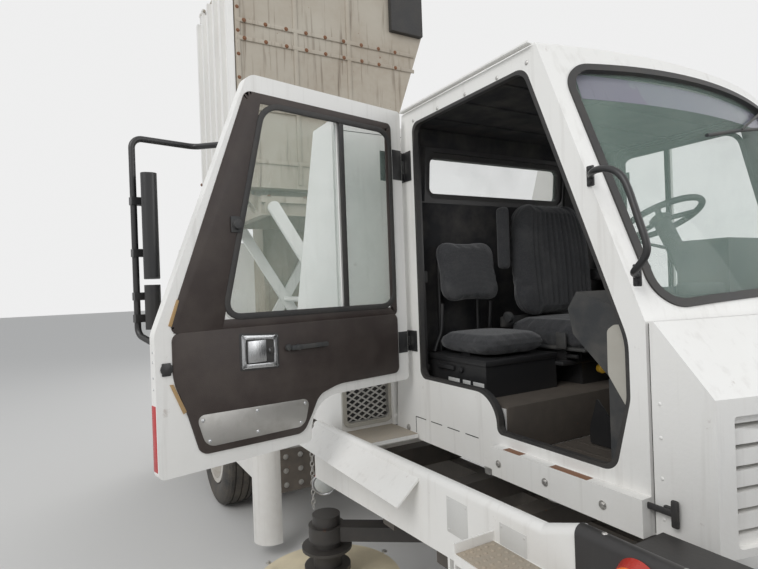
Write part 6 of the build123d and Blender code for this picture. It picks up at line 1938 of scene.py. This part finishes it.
@dataclass(frozen=True)
class Brooms:
    """Bristles of the gutter brooms and the main broom."""

    rings: tuple[tuple[float, int], ...] = ((0.72, 34), (0.86, 42))
    skirt: int = 72
    disc_bolts: int = 8
    rows: int = 26
    bunches: int = 9
    reach: float = 0.985

    def build(self, finishes: Finishes) -> None:
        """Makes the bristle tufts and the discs' bolts.

        Args:
            finishes: The truck's finishes.
        """
        for side in Side:
            self._gutter(side, finishes)
        self._main(finishes)

    def _gutter(self, side: Side, finishes: Finishes) -> None:
        """Makes the two rings of tufts, the skirt and the bolts of one gutter broom.

        Args:
            side: Side of the truck.
            finishes: The truck's finishes.
        """
        body = f"gutter_broom_{side.tail}"
        low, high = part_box(body)
        tall = high.z - low.z
        middle = Vector(((low.x + high.x) / 2, (low.y + high.y) / 2, 0.0))
        radius = (high.x - low.x) / 2
        tufts = Mould(f"bristles_{side.tail}")
        for ring_count, (share, count) in enumerate(self.rings):
            for step in range(count):
                turn = math.tau * (step + 0.5 * ring_count) / count
                way = Vector((math.cos(turn), math.sin(turn), 0.0))
                start = middle + 0.82 * share * radius * way + Vector((0.0, 0.0, low.z + 0.55 * tall * 0.5))
                end = middle + min(self.reach, share + 0.14) * radius * way
                end += Vector((0.0, 0.0, low.z + 0.004))
                tufts.rod(start, end, 0.013, 0.019, sides=8)
        tufts.set_on(finishes, "bristle_dark", body)
        skirt = Mould(f"broom_skirt_{side.tail}")
        for step in range(self.skirt):
            turn = math.tau * step / self.skirt
            way = Vector((math.cos(turn), math.sin(turn), 0.0))
            sway = (0.010 if step % 2 else -0.010) * Vector((-way.y, way.x, 0.0))
            start = middle + 0.70 * radius * way + Vector((0.0, 0.0, low.z + 0.66 * tall))
            end = middle + self.reach * radius * way + sway + Vector((0.0, 0.0, low.z + 0.012))
            skirt.rod(start, end, 0.009, 0.015, sides=6)
        skirt.set_on(finishes, "bristle_dark", body)
        bolts = Mould(f"broom_bolts_{side.tail}")
        ring = 0.62 * radius
        for step in range(self.disc_bolts):
            turn = math.tau * step / self.disc_bolts
            place = (middle.x + ring * math.cos(turn), middle.y + ring * math.sin(turn), high.z - 0.001)
            bolts.bolt(place, UP, 0.009)
        bolts.set_on(finishes, "worn_steel", body)

    def _main(self, finishes: Finishes) -> None:
        """Makes the slanting rows of bunches round the main broom.

        Args:
            finishes: The truck's finishes.
        """
        low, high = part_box("main_broom")
        drum = Vector(((low.x + high.x) / 2, 0.0, (low.z + high.z) / 2))
        radius = (high.x - low.x) / 2
        strips = Mould("main_bristles")
        for row in range(self.rows):
            for count in range(self.bunches):
                turn = math.tau * (row / self.rows + count / 70)
                way = Vector((math.cos(turn), 0.0, math.sin(turn)))
                along = Vector((0, -0.70 + 0.175 * count, 0))
                start = drum + 0.80 * radius * way + along
                strips.rod(start, drum + self.reach * radius * way + along, 0.016, 0.022, sides=6)
        strips.set_on(finishes, "bristle_dark", "main_broom")


@dataclass(frozen=True)
class Underside:
    """Work lamps, chains and bolts under both sides."""

    lamp: Point = (0.030, 1.118, 0.848)
    links: int = 13
    chain_side: float = 0.985
    rail_bolts: int = 12

    def build(self, finishes: Finishes) -> None:
        """Makes the fittings on both sides.

        Args:
            finishes: The truck's finishes.
        """
        for side in Side:
            sign = side.value
            tail = side.tail
            centre = Vector((self.lamp[0], sign * self.lamp[1], self.lamp[2]))
            way = Vector((0.8, sign * 0.55, -0.2)).normalized()
            lamp = Mould(f"worklamp_rim_{tail}").ring(centre + 0.034 * way, way, 0.058, 0.012, steps=40)
            lamp.set_on(finishes, "chrome")
            glass = Mould(f"worklamp_lens_{tail}").dome(centre + 0.033 * way, way, 0.053, 0.012, 32)
            glass.set_on(finishes, "clear_lens")
            case = Mould(f"worklamp_case_{tail}").dome(centre - 0.030 * way, -way, 0.058, 0.040, 28)
            case.set_on(finishes, "black_paint")
            chain = Mould(f"chain_{tail}")
            y = sign * self.chain_side
            for count in range(self.links):
                long = Matrix.Diagonal((1.0, 1.0, 1.45, 1.0))
                place = Matrix.Translation((-0.470, y, 0.870 - 0.030 * count)) @ long
                axis = AHEAD if count % 2 else (0.0, 1.0, 0.0)
                chain.take(Mould("link", place).ring((0.0, 0.0, 0.0), axis, 0.012, 0.0065, steps=16, sides=6))
            chain.block((-0.480, y - 0.010, 0.868), (-0.460, y + 0.010, 0.884), 0.002)
            chain.rod((-0.470, y, 0.880), (-0.470, sign * 0.640, 0.880), 0.010, sides=12)
            chain.rod((-0.470, sign * 0.640, 0.880), (-0.470, sign * 0.430, 0.880), 0.010, sides=12)
            chain.set_on(finishes, "worn_steel")
            plate = Mould(f"guard_bolts_{tail}")
            for y in (0.56, 0.72, 0.88, 0.99):
                for z in (0.500, 0.600, 0.700):
                    plate.bolt((-0.9495, sign * y, z), AHEAD, 0.012)
            plate.set_on(finishes, "worn_steel")
        heads = Mould("rail_bolts")
        for side in Side:
            for count in range(self.rail_bolts):
                x = -2.45 + 0.42 * count
                for z in (0.690, 0.830):
                    heads.bolt((x, side.value * 0.4305, z), side.out, 0.010)
        heads.set_on(finishes, "dark_steel")


@dataclass(frozen=True)
class RearEnd:
    """Lenses, seams, latches, tape and plate of the rear body."""

    back: float = -3.960
    tapes: int = 11

    def build(self, finishes: Finishes) -> None:
        """Makes the rear end's fittings.

        Args:
            finishes: The truck's finishes.
        """
        back = self.back
        lens = Mould("tail_lenses")
        turn = Mould("tail_turn_lenses")
        for side in Side:
            for offset, mould in ((1.010, lens), (0.910, turn)):
                y = side.value * offset
                mould.block((back - 0.032, y - 0.042, 0.862), (back - 0.022, y + 0.042, 0.938), 0.008)
        lens.set_on(finishes, "reflector")
        turn.set_on(finishes, "amber")
        seams = Mould("rear_seams")
        for y in (-0.560, 0.0, 0.560):
            seams.block((back - 0.0014, y - 0.0020, 1.080), (back + 0.001, y + 0.0020, 1.560), 0.0)
        for z in (1.080, 1.560):
            seams.block((back - 0.0014, -1.080, z - 0.002), (back + 0.001, 1.080, z + 0.002), 0.0)
        seams.set_on(finishes, "black_rubber")
        latch = Mould("rear_latches")
        for y in (-0.820, -0.280, 0.280, 0.820):
            latch.block((back - 0.010, y - 0.045, 1.500), (back + 0.001, y + 0.045, 1.530), 0.004)
            for z in (1.120, 1.330):
                latch.bolt((back - 0.0005, y, z), (-1.0, 0.0, 0.0), 0.008)
        latch.set_on(finishes, "worn_steel")
        tape = Mould("rear_tape")
        for count in range(self.tapes):
            y = -1.080 + 0.20 * count
            tape.block((back - 0.0012, y, 1.010), (back + 0.001, y + 0.10, 1.055), 0.0003)
        tape.set_on(finishes, "reflector")
        plate = Mould("number_plate")
        plate.block((back - 0.006, -0.155, 0.900), (back + 0.001, 0.155, 1.000), 0.003)
        plate.set_on(finishes, "label")


@dataclass(frozen=True)
class Studio:
    """Floor, soft light, plain world and the photograph's camera."""

    eye: Point = (2.725, -2.28, 1.9)
    ahead: Point = (-0.8678, 0.4970, 0.0)
    roll: float = 0.03595
    lens: float = 25.6
    floor: Colour = (0.62, 0.61, 0.59)
    sky: Colour = (0.93, 0.96, 1.0)
    sky_strength: float = 0.62
    backing: Colour = (0.86, 0.86, 0.86)
    lamps: tuple[tuple[str, Point, Point, float, float], ...] = (
        ("key", (4.5, -9.0, 9.0), (-0.5, 0.0, 1.6), 7.0, 620.0),
        ("fill", (9.0, 5.0, 5.0), (0.0, 0.0, 1.6), 7.0, 260.0),
        ("back", (-9.0, 4.0, 7.0), (-1.0, 0.0, 2.0), 6.0, 240.0),
    )

    def backdrop(self) -> bpy.types.Material:
        """Makes the floor's pale material, which keeps the truck's shadow.

        Returns:
            The material.
        """
        s = Shader("studio_floor")
        s.set(Base_Color=self.floor, Roughness=0.9)
        return s.material

    def build(self) -> None:
        """Makes the floor, the world, the lamps and the camera."""
        self._floor()
        self._world()
        self._lamps()
        self._camera()
        bpy.context.scene.view_settings.view_transform = "Standard"
        LOG.info("studio ready")

    def _floor(self) -> None:
        """Makes the floor as a stage piece."""
        mesh = bmesh.new()
        bmesh.ops.create_grid(mesh, x_segments=1, y_segments=1, size=60.0)
        data = bpy.data.meshes.new("studio_floor")
        mesh.to_mesh(data)
        mesh.free()
        floor = bpy.data.objects.new("studio_floor", data)
        bpy.context.scene.collection.objects.link(floor)
        data.materials.append(self.backdrop())

    def _world(self) -> None:
        """Makes the soft sky, which camera, glossy and transmitted rays see as a pale plain one."""
        world = bpy.data.worlds.new("studio")
        world.use_nodes = True
        tree = world.node_tree
        tree.nodes.clear()
        out = tree.nodes.new("ShaderNodeOutputWorld")
        soft = tree.nodes.new("ShaderNodeBackground")
        soft.inputs[0].default_value = (*self.sky, 1.0)
        soft.inputs[1].default_value = self.sky_strength
        pale = tree.nodes.new("ShaderNodeBackground")
        pale.inputs[0].default_value = (*self.backing, 1.0)
        path = tree.nodes.new("ShaderNodeLightPath")
        most = tree.nodes.new("ShaderNodeMath")
        most.operation = "MAXIMUM"
        every = tree.nodes.new("ShaderNodeMath")
        every.operation = "MAXIMUM"
        mix = tree.nodes.new("ShaderNodeMixShader")
        tree.links.new(path.outputs["Is Camera Ray"], most.inputs[0])
        tree.links.new(path.outputs["Is Glossy Ray"], most.inputs[1])
        tree.links.new(most.outputs[0], every.inputs[0])
        tree.links.new(path.outputs["Is Transmission Ray"], every.inputs[1])
        tree.links.new(every.outputs[0], mix.inputs[0])
        tree.links.new(soft.outputs[0], mix.inputs[1])
        tree.links.new(pale.outputs[0], mix.inputs[2])
        tree.links.new(mix.outputs[0], out.inputs[0])
        bpy.context.scene.world = world

    def _lamps(self) -> None:
        """Makes the three large round lamps."""
        for name, place, aim, size, power in self.lamps:
            light = bpy.data.lights.new(name, "AREA")
            light.shape = "DISK"
            light.size = size
            light.energy = power
            lamp = bpy.data.objects.new(name, light)
            lamp.location = place
            lamp.rotation_euler = (Vector(aim) - Vector(place)).to_track_quat("-Z", "Y").to_euler()
            bpy.context.scene.collection.objects.link(lamp)

    def _camera(self) -> None:
        """Makes the photograph's camera and looks through it."""
        ahead = Vector(self.ahead).normalized()
        level = ahead.cross(Vector(UP))
        right = math.cos(self.roll) * level - math.sin(self.roll) * Vector(UP)
        up = right.cross(ahead)
        data = bpy.data.cameras.new("camera")
        data.sensor_width = 36.0
        data.lens = self.lens
        data.clip_end = 200.0
        camera = bpy.data.objects.new("camera", data)
        turn = Matrix((right, up, -ahead)).transposed().to_4x4()
        camera.matrix_world = Matrix.Translation(self.eye) @ turn
        bpy.context.scene.collection.objects.link(camera)
        bpy.context.scene.camera = camera


GROUPS = (
    Glasshouse, CabShell, CabInside, Seats, Behind, BeamTrim,
    FrontEnd, HopperTrim, WheelTrim, Brooms, Underside, RearEnd,
)


def main() -> None:
    """Loads the frame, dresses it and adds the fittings."""
    logging.basicConfig(level=logging.INFO, format="%(message)s")
    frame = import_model()
    finishes = Finishes()
    finishes.dress(frame["nodes"], frame["record"])
    for door in (DoorTrim(Side.RIGHT, math.radians(78.0)), DoorTrim(Side.LEFT, 0.0)):
        door.build(finishes)
        MirrorFaces(door.side).build(door, finishes)
    for group in GROUPS:
        group().build(finishes)
        LOG.info("%s ready", group.__name__)
    Studio().build()


if __name__ == "__main__":
    main()
